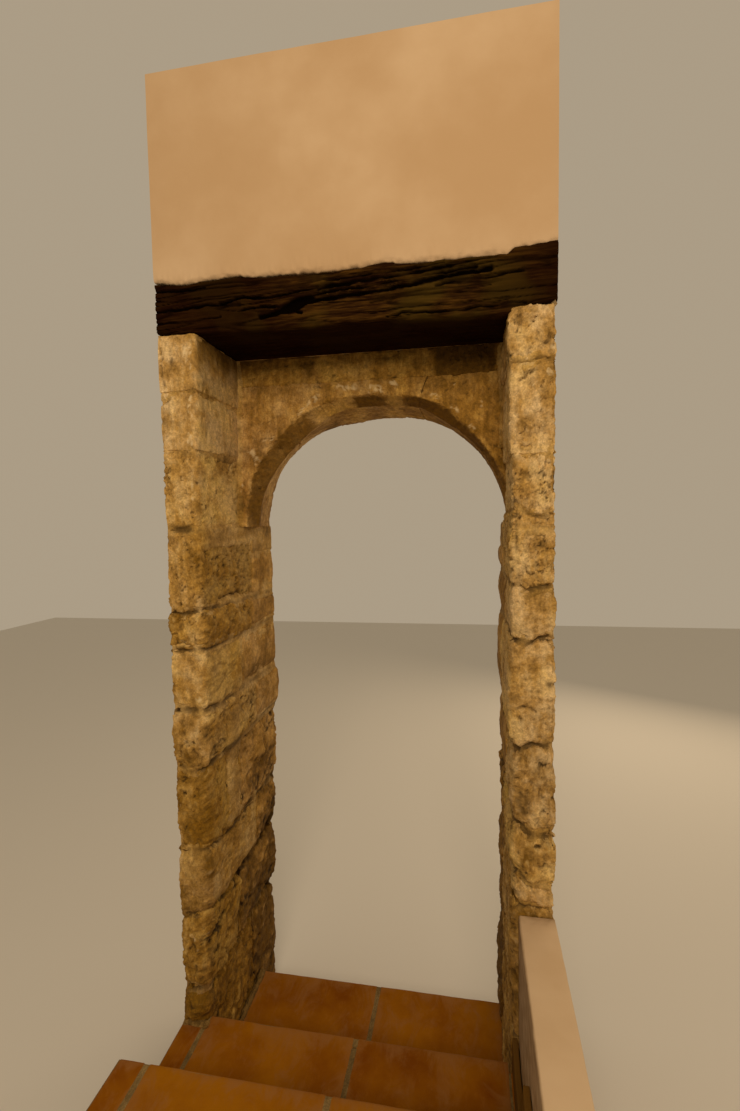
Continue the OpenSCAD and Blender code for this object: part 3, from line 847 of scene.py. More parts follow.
def pier_stone(name, side, number, near, heel, arris, seed, swell, steps, rounder, limit=None, marks=None):
    """A stone of a pier, over the plan of a quoin. Near is its seen end, which may be the far one."""
    box_low, box_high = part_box(f"{side}_quoin_{number}")
    turn_x = -1 if side == "right" else 1
    turn_y = -1 if near > heel else 1
    outer, face = (box_low.x, box_high.x) if turn_x == 1 else (-box_high.x, -box_low.x)
    place = np.array([turn_x, turn_y, 1])
    corners = pier_corners(outer, face, near * turn_y, heel * turn_y, arris, steps)
    gaps = [JOINT_GAPS[side][n] * MM for n in (number - 1, number)]
    wear = [rounder * ((1.5 + 2.5 * low_share(box_low.z)) * MM + 0.9 * gap) for gap in gaps]

    def lower_bed(points):
        """The stone's underside follows the joint under it."""
        there = points * place[:2]
        return bed_height(side, number - 1, there) + joint_gap(side, number - 1, there) / 2

    def upper_bed(points):
        """The stone's top follows the joint over it, or a level limit. One joint is thick on the reveal."""
        if limit:
            return limit
        there = points * place[:2]
        thick = THICK_JOINTS.get((side, number), 0) * reveal_share(there) if turn_y == 1 else 0
        return bed_height(side, number, there) - joint_gap(side, number, there) / 2 - thick

    return block(name, corners, lower_bed, upper_bed, wear, swell, steps[2], seed,
                 lambda rings: rings * place, (marks, unrolled, place[:2]) if marks else None)


# %% How each pier stone looks
DRESSED = {"lump": 1.8, "grain": 1.3, "pits": 3, "chips": 3, "upright": 0.25, "pit_share": 0.34}
PITTED = {"lump": 3.0, "grain": 2.6, "pits": 5, "chips": 3, "pit_share": 0.42, "worms": 1.5}
SPONGY = {"lump": 3, "grain": 4.0, "grain_size": 14, "pits": 6, "chips": 3, "pit_share": 0.6, "pit_size": 12,
          "worms": 2}
WORMY = {"lump": 3, "grain": 4.2, "grain_size": 20, "pits": 5, "chips": 3, "pit_share": 0.5, "pit_size": 12,
         "worms": 4}
RUGGED = {"lump": 6, "lump_size": 50, "grain": 4.2, "grain_size": 20, "pits": 6, "chips": 7, "pit_size": 16,
          "worms": 2.5, "pit_share": 0.45, "upright": 0.85}
LAYERED = {"lump": 4, "lump_size": 60, "grain": 3.4, "grain_size": 18, "pits": 3, "chips": 4, "upright": 1.3}
BOULDER = {"lump": 9, "lump_size": 70, "grain": 4.6, "grain_size": 14, "pits": 6, "chips": 8, "pit_size": 15,
           "worms": 3, "worm_size": 45, "pit_share": 0.5, "upright": 0.6}
CORAL = {"lump": 5, "grain": 4, "grain_size": 11, "pits": 6, "chips": 4, "pit_share": 0.75, "pit_size": 11,
         "upright": 0.75}
# From the floor up: a stone's look, its tone, its gold, and the soil on its near face and reveal.
STONES = {
    "left": [(BOULDER, 0.8, 0.7, 0.5, 0.6), (BOULDER, 0.22, 0.7, 0.3, 0.6), (LAYERED, 0.5, 0.1, 0.2, 0.4),
             (CORAL, 0.6, 0.6, 0.5, 0.6), (RUGGED, 0.5, 0.3, 0.0, 0.4), (LAYERED, 0.4, 0.4, 0.0, 0.4),
             (RUGGED, 0.85, 0.5, 0.0, 0.4), (SPONGY, 0.5, 0.4, 0.0, 0.6), (PITTED, 0.38, 0.3, 0.0, 0.1),
             (DRESSED, 0.35, 0.0, 0.0, 0.0), (DRESSED, 0.32, 0.0, 0.0, 0.1)],
    "right": [(BOULDER, 0.5, 0.3, 0.0, 0.4), (BOULDER, 0.4, 0.2, 0.0, 0.3), (RUGGED, 0.3, 0.1, 0.0, 0.3),
              (BOULDER, 0.25, 0.4, 0.0, 0.3), (RUGGED, 0.4, 0.0, 0.1, 0.2), (LAYERED, 0.28, 0.2, 0.0, 0.1),
              (LAYERED, 0.3, 0.1, 0.0, 0.1), (WORMY, 0.4, 0.3, 0.0, 0.1), (WORMY, 0.2, 0.1, 0.0, 0.1),
              (PITTED, 0.35, 0.1, 0.0, 0.1), (RUGGED, 0.25, 0.1, 0.0, 0.1)],
}

# %% Cracks, flakes and hollows of the piers
# A mark has a width, a depth and stops, all in millimetres: round the pier and above the floor.
MARKS = {
    "left": [
        (5, 9, [(28, 1942), (12, 1932)]), (2, 5, [(98, 1957), (120, 1954), (137, 1949)]),
        (2.2, 6, [(9, 2021), (13, 1995), (17, 1968)]), (3, 5, [(75, 1822), (88, 1817)]),
        (4, 9, [(3, 1786), (12, 1768), (7, 1756), (16, 1744), (6, 1730), (13, 1720)]),
        # The pale marks close to the arris of the three top stones are a painted highlight along the worn
        # arris, broken up like flakes.
        (3, 5, [(30, 1768), (14, 1760)]), (4, -1.5, [(93, 2061), (88, 2035), (91, 2002)]),
        (3, -1.5, [(82, 1928), (80, 1880), (78, 1832)]), (3.5, -1, [(85, 1795), (82, 1740), (80, 1693)]),
        (6, 9, [(0, 1428), (17, 1413)]), (9, 9, [(202, 1427), (265, 1429), (326, 1432)]),
        (3.5, 9, [(3, 1392), (0, 1370), (6, 1350), (3, 1330)]), (2, 7, [(72, 1354), (74, 1318)]),
        (6, -2, [(30, 1337), (52, 1334)]), (3, 6, [(25, 1326), (62, 1327)]),
        (10, -1.5, [(75, 1192), (95, 1172)]), (7, -3, [(62, 1098), (70, 1070)]),
        (4, -2, [(28, 1090), (38, 1082)]), (4, 6, [(22, 1066), (17, 1042)]),
        (5, 8, [(-4, 1035), (8, 1024), (18, 1016)]), (5, 9, [(95, 520), (112, 538), (159, 546), (204, 560)]),
        (6, -3, [(33, 558), (40, 548)]), (8, -3, [(72, 562), (88, 556)]), (5, -3, [(45, 515), (50, 500)]),
        (4, 7, [(20, 470), (50, 455), (70, 462)]), (30, -10, [(30, 356), (82, 356)]),
        # More of the painted highlight along the arris.
        (4, -1, [(88, 1945), (84, 1915), (88, 1890)]), (5, -1, [(92, 2084), (88, 2060)]),
        (5, -1, [(84, 1850), (89, 1822)]), (8, -1, [(74, 2055), (82, 2025)]),
        (2.5, 6, [(8, 2062), (16, 2040), (10, 2032)]), (2, 5, [(14, 1900), (9, 1885)]), (7, 6, [(20, 1938)]),
        (1.8, 5, [(4, 1762), (24, 1772), (40, 1776)]), (2, 6, [(6, 1700), (16, 1690)]),
        (4.5, 9, [(2, 1630), (10, 1625), (42, 1619), (88, 1621)]),
        (3, 8, [(0, 1166), (41, 1160), (100, 1162)]), (3, 8, [(0, 783), (40, 790), (100, 790)]),
    ],
    "right": [
        (2.2, 6, [(2, 1951), (12, 1970), (29, 1976), (48, 1968), (57, 1953)]),
        (9, -2, [(25, 1955), (20, 1947)]), (2.5, 7, [(72, 1962), (66, 1942), (79, 1935)]),
        (2, -1, [(54, 1920), (41, 1932)]), (3, 7, [(27, 2012), (12, 2027), (2, 2006)]),
        (6, -2, [(24, 2003), (14, 2000)]), (2, 5, [(83, 1857), (66, 1837), (72, 1822), (83, 1818)]),
        (3.5, 12, [(77, 1790), (67, 1787), (60, 1788)]),
        (2.5, 6, [(72, 1458), (53, 1465), (38, 1469), (6, 1474)]),
        (2.5, 5, [(88, 1204), (72, 1208), (53, 1206), (42, 1197)]), (2.5, 4, [(81, 1186), (61, 1156)]),
        (9, 4, [(12, 1258)]), (13, 3, [(79, 994), (75, 961)]), (4, 6, [(88, 1600), (88, 1565)]),
        (3, 5, [(85, 1655), (66, 1645), (40, 1638), (10, 1648)]),
    ],
}
print("marks on the piers:", {side: len(marks) for side, marks in MARKS.items()})

# %% Piers
SIDE_SEEDS = {"left": 100, "right": 200}
# Mesh steps on the near face, on the reveal and upwards. The right reveal is seen edge-on, so it is coarser.
QUOIN_STEPS = {"left": (2.9 * MM, 4.4 * MM, 3.5 * MM), "right": (2.9 * MM, 6.5 * MM, 3.5 * MM)}

for side, seed_base in SIDE_SEEDS.items():
    for number, (look, *tints) in enumerate(STONES[side], 1):
        node = f"{side}_quoin_{number}"
        box_low, box_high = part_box(node)
        height = (box_low.z + box_high.z) / 2
        piece = pier_stone(f"{node}_stone", side, number, box_low.y, box_high.y, arris_radius(height),
                           seed_base + number, (1.5 + 6 * low_share(height)) * MM, QUOIN_STEPS[side],
                           1 + 0.5 * low_share(height), marks=MARKS[side])
        weather(piece, hewn_limestone, seed_base + number, **look)
        tint_stone(piece, *tints)
        settle(piece, [node])

# %% [markdown]
# ## The far half of the jambs
#
# Behind the quoins the reveal goes on as rougher masonry of the same
# courses, with the mortar wiped over much of it. The solid is one node a
# side, so the eight stones of a jamb are lofted one by one and then joined
# into one piece.

# %% Jambs
def join(name, parts):
    """Several pieces as one mesh, which keeps their attributes."""
    with bpy.context.temp_override(active_object=parts[0], selected_editable_objects=parts):
        bpy.ops.object.join()
    parts[0].name = name
    for part in parts[1:]:
        pieces.remove(part)
    return parts[0]


IMPOST_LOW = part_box("left_impost")[0].z
JAMB_STEPS = {"left": (9 * MM, 6 * MM, 5.5 * MM), "right": (9 * MM, 9 * MM, 5.5 * MM)}
WIPED_OVER = {"lump": 5, "grain": 1.6, "pits": 2, "chips": 3, "pit_share": 0.2, "lump_size": 90}
ROUNDED = {"lump": 9, "lump_size": 75, "grain": 5, "grain_size": 15, "pits": 6, "chips": 6, "pit_share": 0.6,
           "worms": 4, "worm_size": 60, "upright": 0.7, "inward": 0.5}
JAMB_LOOKS = [ROUNDED] * 4 + [WIPED_OVER] * 4
JAMB_TONES = [0.9, 0.7, 0.55, 0.45, 0.5, 0.5, 0.4, 0.3]

for side, seed_base in SIDE_SEEDS.items():
    far_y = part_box(f"{side}_jamb")[1].y
    stones = []
    for number in range(1, LOW_QUOINS + 1):
        quoin_low, quoin_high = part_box(f"{side}_quoin_{number}")
        height = (quoin_low.z + quoin_high.z) / 2
        stone = pier_stone(f"{side}_jamb_stone_{number}", side, number, far_y, quoin_high.y,
                           arris_radius(height) * 0.5, seed_base + number, (5 + 8 * low_share(height)) * MM,
                           JAMB_STEPS[side], 2.0, limit=IMPOST_LOW if number == LOW_QUOINS else None)
        weather(stone, rubble_limestone, seed_base + 40 + number, **JAMB_LOOKS[number - 1])
        spots = places(stone)
        inwards = np.clip((spots[:, 1] - quoin_high.y) / (70 * MM) + 0.4 * ripple(spots, 0.03, 7), 0, 1)
        write_values(stone, tone=JAMB_TONES[number - 1] - 0.3 * (1 - inwards), gold=0.4)
        stones.append(stone)
    settle(join(f"{side}_jamb_stones", stones), [f"{side}_jamb"])

# %% [markdown]
# ## Mortar between and over the stones
#
# The joints are nearly full. Lime mortar was pressed in and wiped off, so in
# places it lies over the edge of a stone and in others it has shrunk back
# and left a dark crack. One core a pier does this: it stands a few
# millimetres behind the stones, follows their steps in and out, and the
# weathering tree pushes it forward and back.

# %% Mortar cores
MORTAR_LOOK = {"lump": 2.5, "lump_size": 45, "grain": 2.0, "grain_size": 12, "pits": 2, "chips": 0}
# How far the mortar lies behind the faces, how far inside a stone, and what more is lost low down, in mm.
MORTAR_BACK, MORTAR_HIDDEN, MORTAR_LOST = 2, 13, 5
MORTAR_SIDE = 9 * MM
JOINT_REACH = 16 * MM
MORTAR_STEPS = {"left": (6 * MM, 8 * MM, 5.5 * MM), "right": (6 * MM, 14 * MM, 6 * MM)}
# Mortar wiped over stones: from and to round the pier, from and to in height, and how thick, all in mm.
SMEARS = {
    "left": [((417, 600), (1400, 1560), 4.5), ((104, 460), (1564, 1632), 6), ((205, 290), (780, 1130), 6),
             ((-10, 18), (800, 1005), 5), ((0, 112), (700, 780), 4), ((-8, 20), (1045, 1135), 4),
             ((300, 600), (1170, 1300), 4)],
    "right": [((-10, 100), (1590, 1625), 3), ((40, 110), (1440, 1470), 3)],
}


def face_lines(side, height):
    """Where the pier's reveal and near face lie at a height, with softened steps between stones."""
    known, reveal, near = [], [], []
    for number in range(1, QUOINS + 1):
        box_low, box_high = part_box(f"{side}_quoin_{number}")
        known += [box_low.z + JOINT_REACH, box_high.z - JOINT_REACH]
        reveal += [box_high.x if side == "left" else -box_low.x] * 2
        near += [box_low.y] * 2
    return np.interp(height, known, reveal), np.interp(height, known, near)


def joint_depths(side, points, height):
    """How far the mortar of one height lies behind the stones, and how far it shrank into open joints."""
    spots = np.c_[way_round(points), 0 * points[:, 0], 0 * points[:, 0]]
    low_down = np.clip((900 * MM - height) / (300 * MM), 0, 1)
    along_pier = np.maximum(np.interp(spots[:, 0] / MM, [110, 170, 330], [1, 0.7, 0.3]), 0.9 * low_down)
    opened = np.zeros(len(points))
    nearest = np.full(len(points), 99.0)
    for number in range(QUOINS + 1):
        if abs(BEDS[side][number] - height) > 90 * MM:
            continue
        gap = joint_gap(side, number, points) / MM
        away = np.abs(height - bed_height(side, number, points)) / MM
        nearest = np.minimum(nearest, away)
        full = along_pier if number < LOW_QUOINS else np.interp(spots[:, 0] / MM, [100, 115], [1, 0])
        share = np.clip(0.8 + 1.4 * ripple(spots, 0.045, number), 0, 1) * full * (gap > 2)
        opened = np.maximum(opened, 2.2 * gap * share * np.exp(-(away / (0.9 * gap + 1)) ** 2))
    for number in range(1, QUOINS + 1):
        low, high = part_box(f"{side}_quoin_{number}")
        if low.z < height <= high.z:
            nearest = np.minimum(nearest, np.abs(points[:, 1] - high.y) / MM)
    back = MORTAR_BACK + MORTAR_LOST * low_down * np.clip((spots[:, 0] / MM - 130) / 40, 0, 1)
    hidden = back + (MORTAR_HIDDEN - back) * np.clip((nearest - 13) / 14, 0, 1)
    return (hidden + opened) * MM, opened


def smeared(side, points, height, seed):
    """How far mortar was wiped over the stones at one height."""
    way = way_round(points) / MM
    spots = np.c_[way / 30, 0 * way, np.full(len(way), height / (30 * MM))]
    way, level = way + 9 * ripple(spots, 1.0, seed), height / MM + 9 * ripple(spots, 1.0, seed + 1)
    wiped = np.zeros(len(way))
    for (start, end), (low, high), amount in SMEARS[side]:
        inside = np.minimum(np.minimum(way - start, end - way), np.minimum(level - low, high - level))
        wiped = np.maximum(wiped, amount * np.clip(inside / 14, 0, 1))
    return wiped * MM


def pier_mortar(side, low, high, far, seed):
    """The mortar of one height range of a pier, a skin that follows the stones' faces and arris."""
    turn = (1, 1) if side == "left" else (-1, 1)
    outer = low_bound[0] + MORTAR_SIDE
    across_count, along_count = (
        round(length / step) for length, step in zip((90 * MM, far - WALL_NEAR), MORTAR_STEPS[side]))
    rings, worn, marks = [], [], []
    for height in even(low, high, MORTAR_STEPS[side][2]):
        reveal, near = face_lines(side, height)
        radius = arris_radius(height) + 3 * MM
        across = (reveal - outer - radius) / (across_count - 0.5)
        along = (far - near - radius - 4 * MM) / (along_count - 0.5)
        points, looks, shown = outline([
            (outer, near, 0, across, 1), (reveal, near, radius, along, 1),
            (reveal, far, 4 * MM, (reveal - outer - 4 * MM) / 1.5, 0), (outer, far, 0, (far - near) / 2.5, 0),
        ])
        behind, opened = joint_depths(side, points * turn, height)
        wiped = smeared(side, points * turn, height, seed)
        setback = np.where(wiped > 0.5 * MM, np.minimum(behind, 3 * MM), behind) - wiped
        rings.append(np.c_[(points - looks * (setback * shown)[:, None]) * turn,
                           np.full(len(points), height)])
        worn.append(shown)
        marks.append(np.clip(opened / 8, 0, 0.8) * shown)
    part = loft(f"{side}_pier_mortar_{seed}", np.array(rings), np.array(worn), 0.0, np.array(marks))
    weather(part, lime_mortar, seed, **MORTAR_LOOK)
    return part


for side, seed_base in SIDE_SEEDS.items():
    wall_far, arch_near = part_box(f"{side}_jamb")[1].y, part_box("left_springer")[0].y
    lower = pier_mortar(side, 0.0, SPRINGING - 1 * MM, wall_far - 6 * MM, seed_base + 71)
    upper = pier_mortar(side, SPRINGING - 8 * MM, PIER_TOP, arch_near, seed_base + 72)
    settle(join(f"{side}_pier_mortar", [lower, upper]), [], tone=0.35, gold=0.3)

# %% [markdown]
# ## Imposts
#
# Just under the arch a band of mortar was struck smooth, to make a level
# seat for the springers. It is a plain block with soft edges.

# %% Imposts
def box_corners(low, high, rounding, steps, shown):
    """A rectangle as outline corners: near, right, far and left side, with a step and a mask for each."""
    spots = [(low[0], low[1]), (high[0], low[1]), (high[0], high[1]), (low[0], high[1])]
    return [(*spots[i], rounding, steps[i], shown[i]) for i in range(4)]


SMOOTH_MORTAR = {"lump": 3, "lump_size": 50, "grain": 0.7, "pits": 1.5, "chips": 2, "pit_share": 0.2}
IMPOST_OVERLAP = 16 * MM
for side in SIDE_SEEDS:
    low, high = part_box(f"{side}_impost")
    shown = (0, 1, 1, 0) if side == "left" else (0, 0, 1, 1)
    corners = box_corners(low, high, 3 * MM, [6 * MM if s else 40 * MM for s in shown], shown)
    band = block(f"{side}_impost_band", corners, low.z - IMPOST_OVERLAP, high.z,
                 wear=(9 * MM, 2 * MM), swell=1 * MM, step=6 * MM, seed=301)
    weather(band, lime_mortar, 301, **SMOOTH_MORTAR)
    settle(band, [f"{side}_impost"], tone=0.5, gold=0.3)

# %% [markdown]
# ## The five stones of the arch
#
# The arch was cut from large dressed blocks, and its near edge is chamfered
# all the way round. A springer or haunch is a straight block whose inner
# side is bent to the circle, row by row. The crown stone is the same block
# stood on its side: its rows are joints that point to the circle's centre.
# Bending a finished block keeps its worn edges and its even mesh.

# %% Arch measures
ARCH_X, ARCH_Z = 10 * MM, 1600 * MM
CHAMFER, THROAT_RADIUS = 50 * MM, 352 * MM
CROWN_HALF_ANGLE = math.radians(21)
MEAN_RADIUS = 375 * MM
ARCH_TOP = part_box("crown_stone")[1].z
ARCH_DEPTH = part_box("crown_stone")[1].y
ARCH_LOOK = {"lump": 2.5, "lump_size": 90, "grain": 2.2, "pits": 4, "pit_share": 0.36, "chips": 0}
# Radii in millimetres at angles in degrees, from the right springing over the crown to the left one.
FACE_RADII = ([0, 28, 48, 60, 70, 82, 95, 118, 134, 146, 154, 165, 172, 180],
              [386, 388, 384, 396, 391, 379, 380, 387, 378, 382, 381, 373, 368, 366])
THROAT_RADII = ([0, 29, 39, 50, 60, 69, 77, 90, 103, 118, 126, 135, 145, 155, 165, 180],
                [374, 375, 374, 367, 368, 374, 362, 357, 360, 356, 347, 341, 342, 349, 349, 348])
FAR_RADII = ([0, 32, 49, 60, 70, 79, 97, 110, 122, 128, 139, 148, 158, 172, 180],
             [386, 386, 384, 375, 375, 362, 346, 364, 379, 387, 397, 400, 394, 389, 389])
# How much painted shade the chamfer gets at the same kind of angles.
CHAMFER_SHADE = ([0, 28, 50, 72, 76, 81, 84, 96, 99, 116, 119, 135, 165, 180],
        [0.6, 0.8, 1.0, 1.0, 0.3, 0.2, 0.9, 1.0, 0.1, 0.0, 0.6, 0.8, 0.8, 0.6])
print("the arch rises from", round(ARCH_Z, 3), "to a throat at", round(ARCH_Z + THROAT_RADIUS, 3), "m")


def eased(degrees, table, reach):
    """A value of a table at each angle, with the table's corners rounded off over a reach in degrees."""
    near = [np.interp(degrees + shift * reach, *table) for shift in (-1, -0.5, 0, 0.5, 1)]
    return np.tensordot([0.12, 0.24, 0.28, 0.24, 0.12], near, 1) * MM


def arc_radius(y, degrees):
    """Radius of the soffit at a depth and angle: the knocked chamfer narrows it, then it widens slowly."""
    face, throat, far = (
        eased(degrees, *table) for table in ((FACE_RADII, 4), (THROAT_RADII, 4), (FAR_RADII, 14)))
    face = face + (1.5 * np.sin(1.9 * degrees) + 1.3 * np.sin(3.3 * degrees)) * MM
    on_chamfer, behind = y / CHAMFER, np.clip((y - CHAMFER) / (ARCH_DEPTH - CHAMFER), 0, 1)
    return np.where(y < CHAMFER, face + (throat - face) * on_chamfer, throat + (far - throat) * behind)


def arch_corners(width):
    """Plan of an arch stone before it is bent. The part behind the pier is hidden."""
    hidden = 90 * MM
    return [
        (PLAIN_SIDE_BACK, 0, 0, 40 * MM, 0.4), (hidden, 0, 0, 4.5 * MM, 1), (width, 0, 4 * MM, 4 * MM, 1),
        (width, CHAMFER, 0, 6 * MM, 1), (width, ARCH_DEPTH, 5 * MM, 10 * MM, 1),
        (PLAIN_SIDE_BACK, ARCH_DEPTH, 0, 14 * MM, 0.7),
    ]


def haunch_warp(turn, straight_width):
    """Bends a straight block beside the arch: its inner side becomes the circle, then the crown joint."""
    def warp(rings):
        rise = np.clip(rings[..., 2] - ARCH_Z, 0, None)
        climb = np.degrees(np.arcsin(np.clip(rise / MEAN_RADIUS, 0, 1)))
        radius = arc_radius(rings[..., 1], 180 - climb if turn == 1 else climb)
        on_circle = np.sqrt(np.clip(radius ** 2 - rise ** 2, 0, None))
        on_joint = rise * math.tan(CROWN_HALF_ANGLE)
        inner = np.maximum(on_circle, on_joint)
        width = WALL_SIDE + turn * ARCH_X - inner
        rings[..., 0] = (rings[..., 0] / straight_width) * width - WALL_SIDE
        return rings * (turn, 1, 1)
    return warp


CROWN_WIDTH = ARCH_TOP - ARCH_Z - THROAT_RADIUS


def crown_warp(rings):
    """Turns a block on its side and bends it over the opening."""
    angle = math.pi / 2 - rings[..., 2] / THROAT_RADIUS
    outer = (ARCH_TOP - ARCH_Z) / np.sin(angle)
    inner = arc_radius(rings[..., 1], np.degrees(angle))
    distance = outer - rings[..., 0] / CROWN_WIDTH * (outer - inner)
    return np.stack([ARCH_X + distance * np.cos(angle), rings[..., 1], ARCH_Z + distance * np.sin(angle)], -1)


# %% Cracks and flakes of the arch
# Marks as on the piers, but with stops at X and height on the arch's near face.
# The pale marks along the upper edge of the chamfer are pale chips and a painted highlight on that edge.
ARCH_MARKS = [
    (3.5, -2, [(-351, 1843), (-335, 1830), (-316, 1820)]), (7, -2, [(-317, 1822), (-321, 1803)]),
    (1.5, -1, [(-338, 1877), (-300, 1868), (-266, 1868)]), (2.5, 6, [(-378, 1858), (-366, 1838)]),
    (3, -2, [(-363, 1749), (-374, 1690), (-381, 1645)]), (9, -2, [(-160, 1962), (-134, 1985)]),
    (11, -1, [(-75, 2008), (-52, 2001)]), (12, -1, [(20, 1998), (42, 1990)]),
    (2, 5, [(-140, 2010), (-120, 2005)]), (9, -3, [(-139, 1981), (-150, 1966)]),
    (7, -3, [(-176, 1951), (-190, 1937)]), (9, -4, [(-333, 1837), (-316, 1810)]),
    (6, -3, [(-300, 1869), (-268, 1873)]), (14, -2, [(-30, 2002)]), (8, -3, [(12, 1986)]),
    (8, -3, [(76, 2009), (84, 1998)]), (9, -3, [(178, 1975), (196, 1962)]),
    (9, -3, [(237, 1936), (252, 1926)]), (8, -3, [(281, 1886), (292, 1872)]),
    (4, -3, [(313, 1945), (314, 1930)]), (4, -3, [(242, 1993)]), (2.5, 6, [(-374, 1856), (-368, 1836)]),
    (3, 5, [(-366, 1700), (-368, 1672)]), (2, 5, [(333, 1828), (361, 1825)]),
]


def face_places(points):
    """Places on the arch's near face. Points behind it are sent far away from every mark."""
    return np.c_[points[:, 0] + np.where(points[:, 1] < 3 * MM, 0, 9), points[:, 2]]


def shade_chamfer(stone, tone):
    """Darkens the chamfer, but not where lumps of mortar hide it near the crown."""
    spots = places(stone)
    x, y, z = spots.T
    degrees = np.degrees(np.arctan2(z - ARCH_Z, x - ARCH_X)) + 2.5 * ripple(spots, 0.02, 6)
    radius = np.hypot(z - ARCH_Z, x - ARCH_X) + 3 * MM * ripple(spots, 0.02, 5)
    inside = (radius < np.interp(degrees, *FACE_RADII) * MM - 2 * MM) & (y < CHAMFER + 3 * MM)
    # Painted shade: the chamfer faces down, away from the light, and is darkened.
    shade_here = np.interp(degrees, *CHAMFER_SHADE)
    write_values(stone, tone=tone - 0.6 * inside * (shade_here < 0.4), gold=np.interp(x, [-0.3, 0.3], [0.4, 0.9]),
                 soil=inside * shade_here)


# %% Arch stones
STRAIGHT_WIDTHS = {"springer": 180 * MM, "haunch": 280 * MM}

for node in ("left_springer", "left_haunch", "right_haunch", "right_springer", "crown_stone"):
    side, kind = node.split("_")
    if side == "crown":
        corners = arch_corners(CROWN_WIDTH)
        corners[1] = (2 * MM, 0, 0, 4.5 * MM, 1)
        top = THROAT_RADIUS * CROWN_HALF_ANGLE
        bottom, warp = -top, crown_warp
    else:
        corners = arch_corners(STRAIGHT_WIDTHS[kind])
        bottom, top = (corner.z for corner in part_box(node))
        warp = haunch_warp(1 if side == "left" else -1, STRAIGHT_WIDTHS[kind])
    stone = block(f"{node}_block", corners, bottom, top, wear=0.3 * MM, swell=0.0, step=4.5 * MM, seed=310,
                  warp=warp, marks=(ARCH_MARKS, face_places, (1, 1)))
    weather(stone, arch_limestone, 310, **ARCH_LOOK)
    shade_chamfer(stone, 0.6 if side == "right" else 0.4)
    settle(stone, [node])

# %% [markdown]
# ## Mortar in the corners
#
# Where the arch's face meets the reveal of a pier, mortar was pressed into
# the corner with a finger. It hides how the straight face ends against
# stones that step in and out. A strip with three sides does this: it is
# carried straight up, and then each ring moves to the pier's own face.

# %% Corner strips
CORNER_LOOK = {"lump": 3, "lump_size": 40, "grain": 1.5, "pits": 2, "chips": 0}
CORNER_FOOT = {"left": SPRINGING, "right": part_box("right_haunch")[0].z}
CORNER_OUTLINE = [
    (-6 * MM, -14 * MM, 0, 4 * MM, 1), (14 * MM, 4 * MM, 0, 18 * MM, 0), (-6 * MM, 4 * MM, 0, 18 * MM, 0)]


def into_corner(side):
    """Moves a strip to the reveal of its pier, which steps in and out from stone to stone."""
    def warp(rings):
        rings[..., 0] += face_lines(side, rings[..., 2])[0]
        return rings * (1 if side == "left" else -1, 1, 1)
    return warp


for side in SIDES:
    strip = block(f"{side}_corner_mortar", CORNER_OUTLINE, CORNER_FOOT[side], PIER_TOP,
                  wear=0.5 * MM, swell=0.0, step=5 * MM, seed=302, warp=into_corner(side))
    weather(strip, lime_mortar, 302, **CORNER_LOOK)
    settle(strip, [], tone=0.55, gold=0.4)

# %% [markdown]
# ## The levelling course
#
# Rough stones and mortar fill the gap between the round arch and the
# straight timber. They were dressed over in one go, so no joint shows, only
# a change of colour from stone to stone. The top is darkened with painted
# shade under the timber, and with the soot that gathered there.

# %% Levelling stones
LEVEL_LOOK = {"lump": 5, "lump_size": 45, "grain": 4.0, "pits": 4, "pit_share": 0.4, "chips": 0}
# Values along the course, at X in millimetres.
LEVEL_TONES = ([-400, -240, -90, -70, 70, 85, 180, 196, 345, 352],
               [0.6, 0.3, 0.4, 0.2, 0.2, 0.4, 0.5, 1.0, 1.0, 0.6])
LEVEL_SOIL = ([-400, -230, -80, -60, 80, 110, 188, 196, 345, 352],
              [0.2, 0.0, 0.0, 0, 0, 0.1, 0.1, 0.7, 0.7, 0.2])
LEVEL_SOOT_AND_SHADE = ([-400, -300, -100, 100, 350], [0.7, 0.3, 0.15, 0.15, 0.4])
DARK_STONE_MIDDLE, DARK_STONE_HALF = 271, 77
LEVEL_TONE = 0.4
low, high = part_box("levelling_course")
corners = box_corners(low, high, 3 * MM, (4.5 * MM, 60 * MM, 12 * MM, 60 * MM), (1, 0, 1, 0))
course = block("levelling_stones", corners, low.z - 1 * MM, high.z, wear=0.4 * MM, swell=0.0, step=4 * MM,
               seed=320)
weather(course, arch_limestone, 320, **LEVEL_LOOK)
spots = places(course)
along = spots[:, 0] / MM + 4 * ripple(spots, 0.02, 9)
# Painted shade and soot under the timber darken the top of the course.
soot_and_shade = soot_and_shade_below(spots, high.z, 50 * MM)
climb = np.clip((spots[:, 2] - low.z) / (30 * MM) + 0.4 * ripple(spots, 0.03, 11), 0, 1)
climb = np.where(along > 190, 1, climb)
in_dark_stone = np.abs(along - DARK_STONE_MIDDLE) < DARK_STONE_HALF
write_values(course, tone=LEVEL_TONE + climb * (np.interp(along, *LEVEL_TONES) - LEVEL_TONE), gold=1.0,
             soil=np.clip(np.interp(along, *LEVEL_SOIL) + 0.6 * soot_and_shade, 0, 1),
             hollow=value_of(course, "hollow") + np.interp(along, *LEVEL_SOOT_AND_SHADE) * soot_and_shade
             + 0.35 * in_dark_stone)
settle(course, ["levelling_course"])

# %% [markdown]
# ## The hewn timber
#
# The lintel is one squared tree trunk, hewn with an axe and dark with age.
# Its grain runs along X, so everything on it does too: drying has opened
# long cracks that wander up and down, the softer wood between has worn back
# in fibres, and round one knot the grain parts and has broken out. The
# section is carried along X and each ring is bent to the upper and lower
# edge, then the cracks are pressed in.

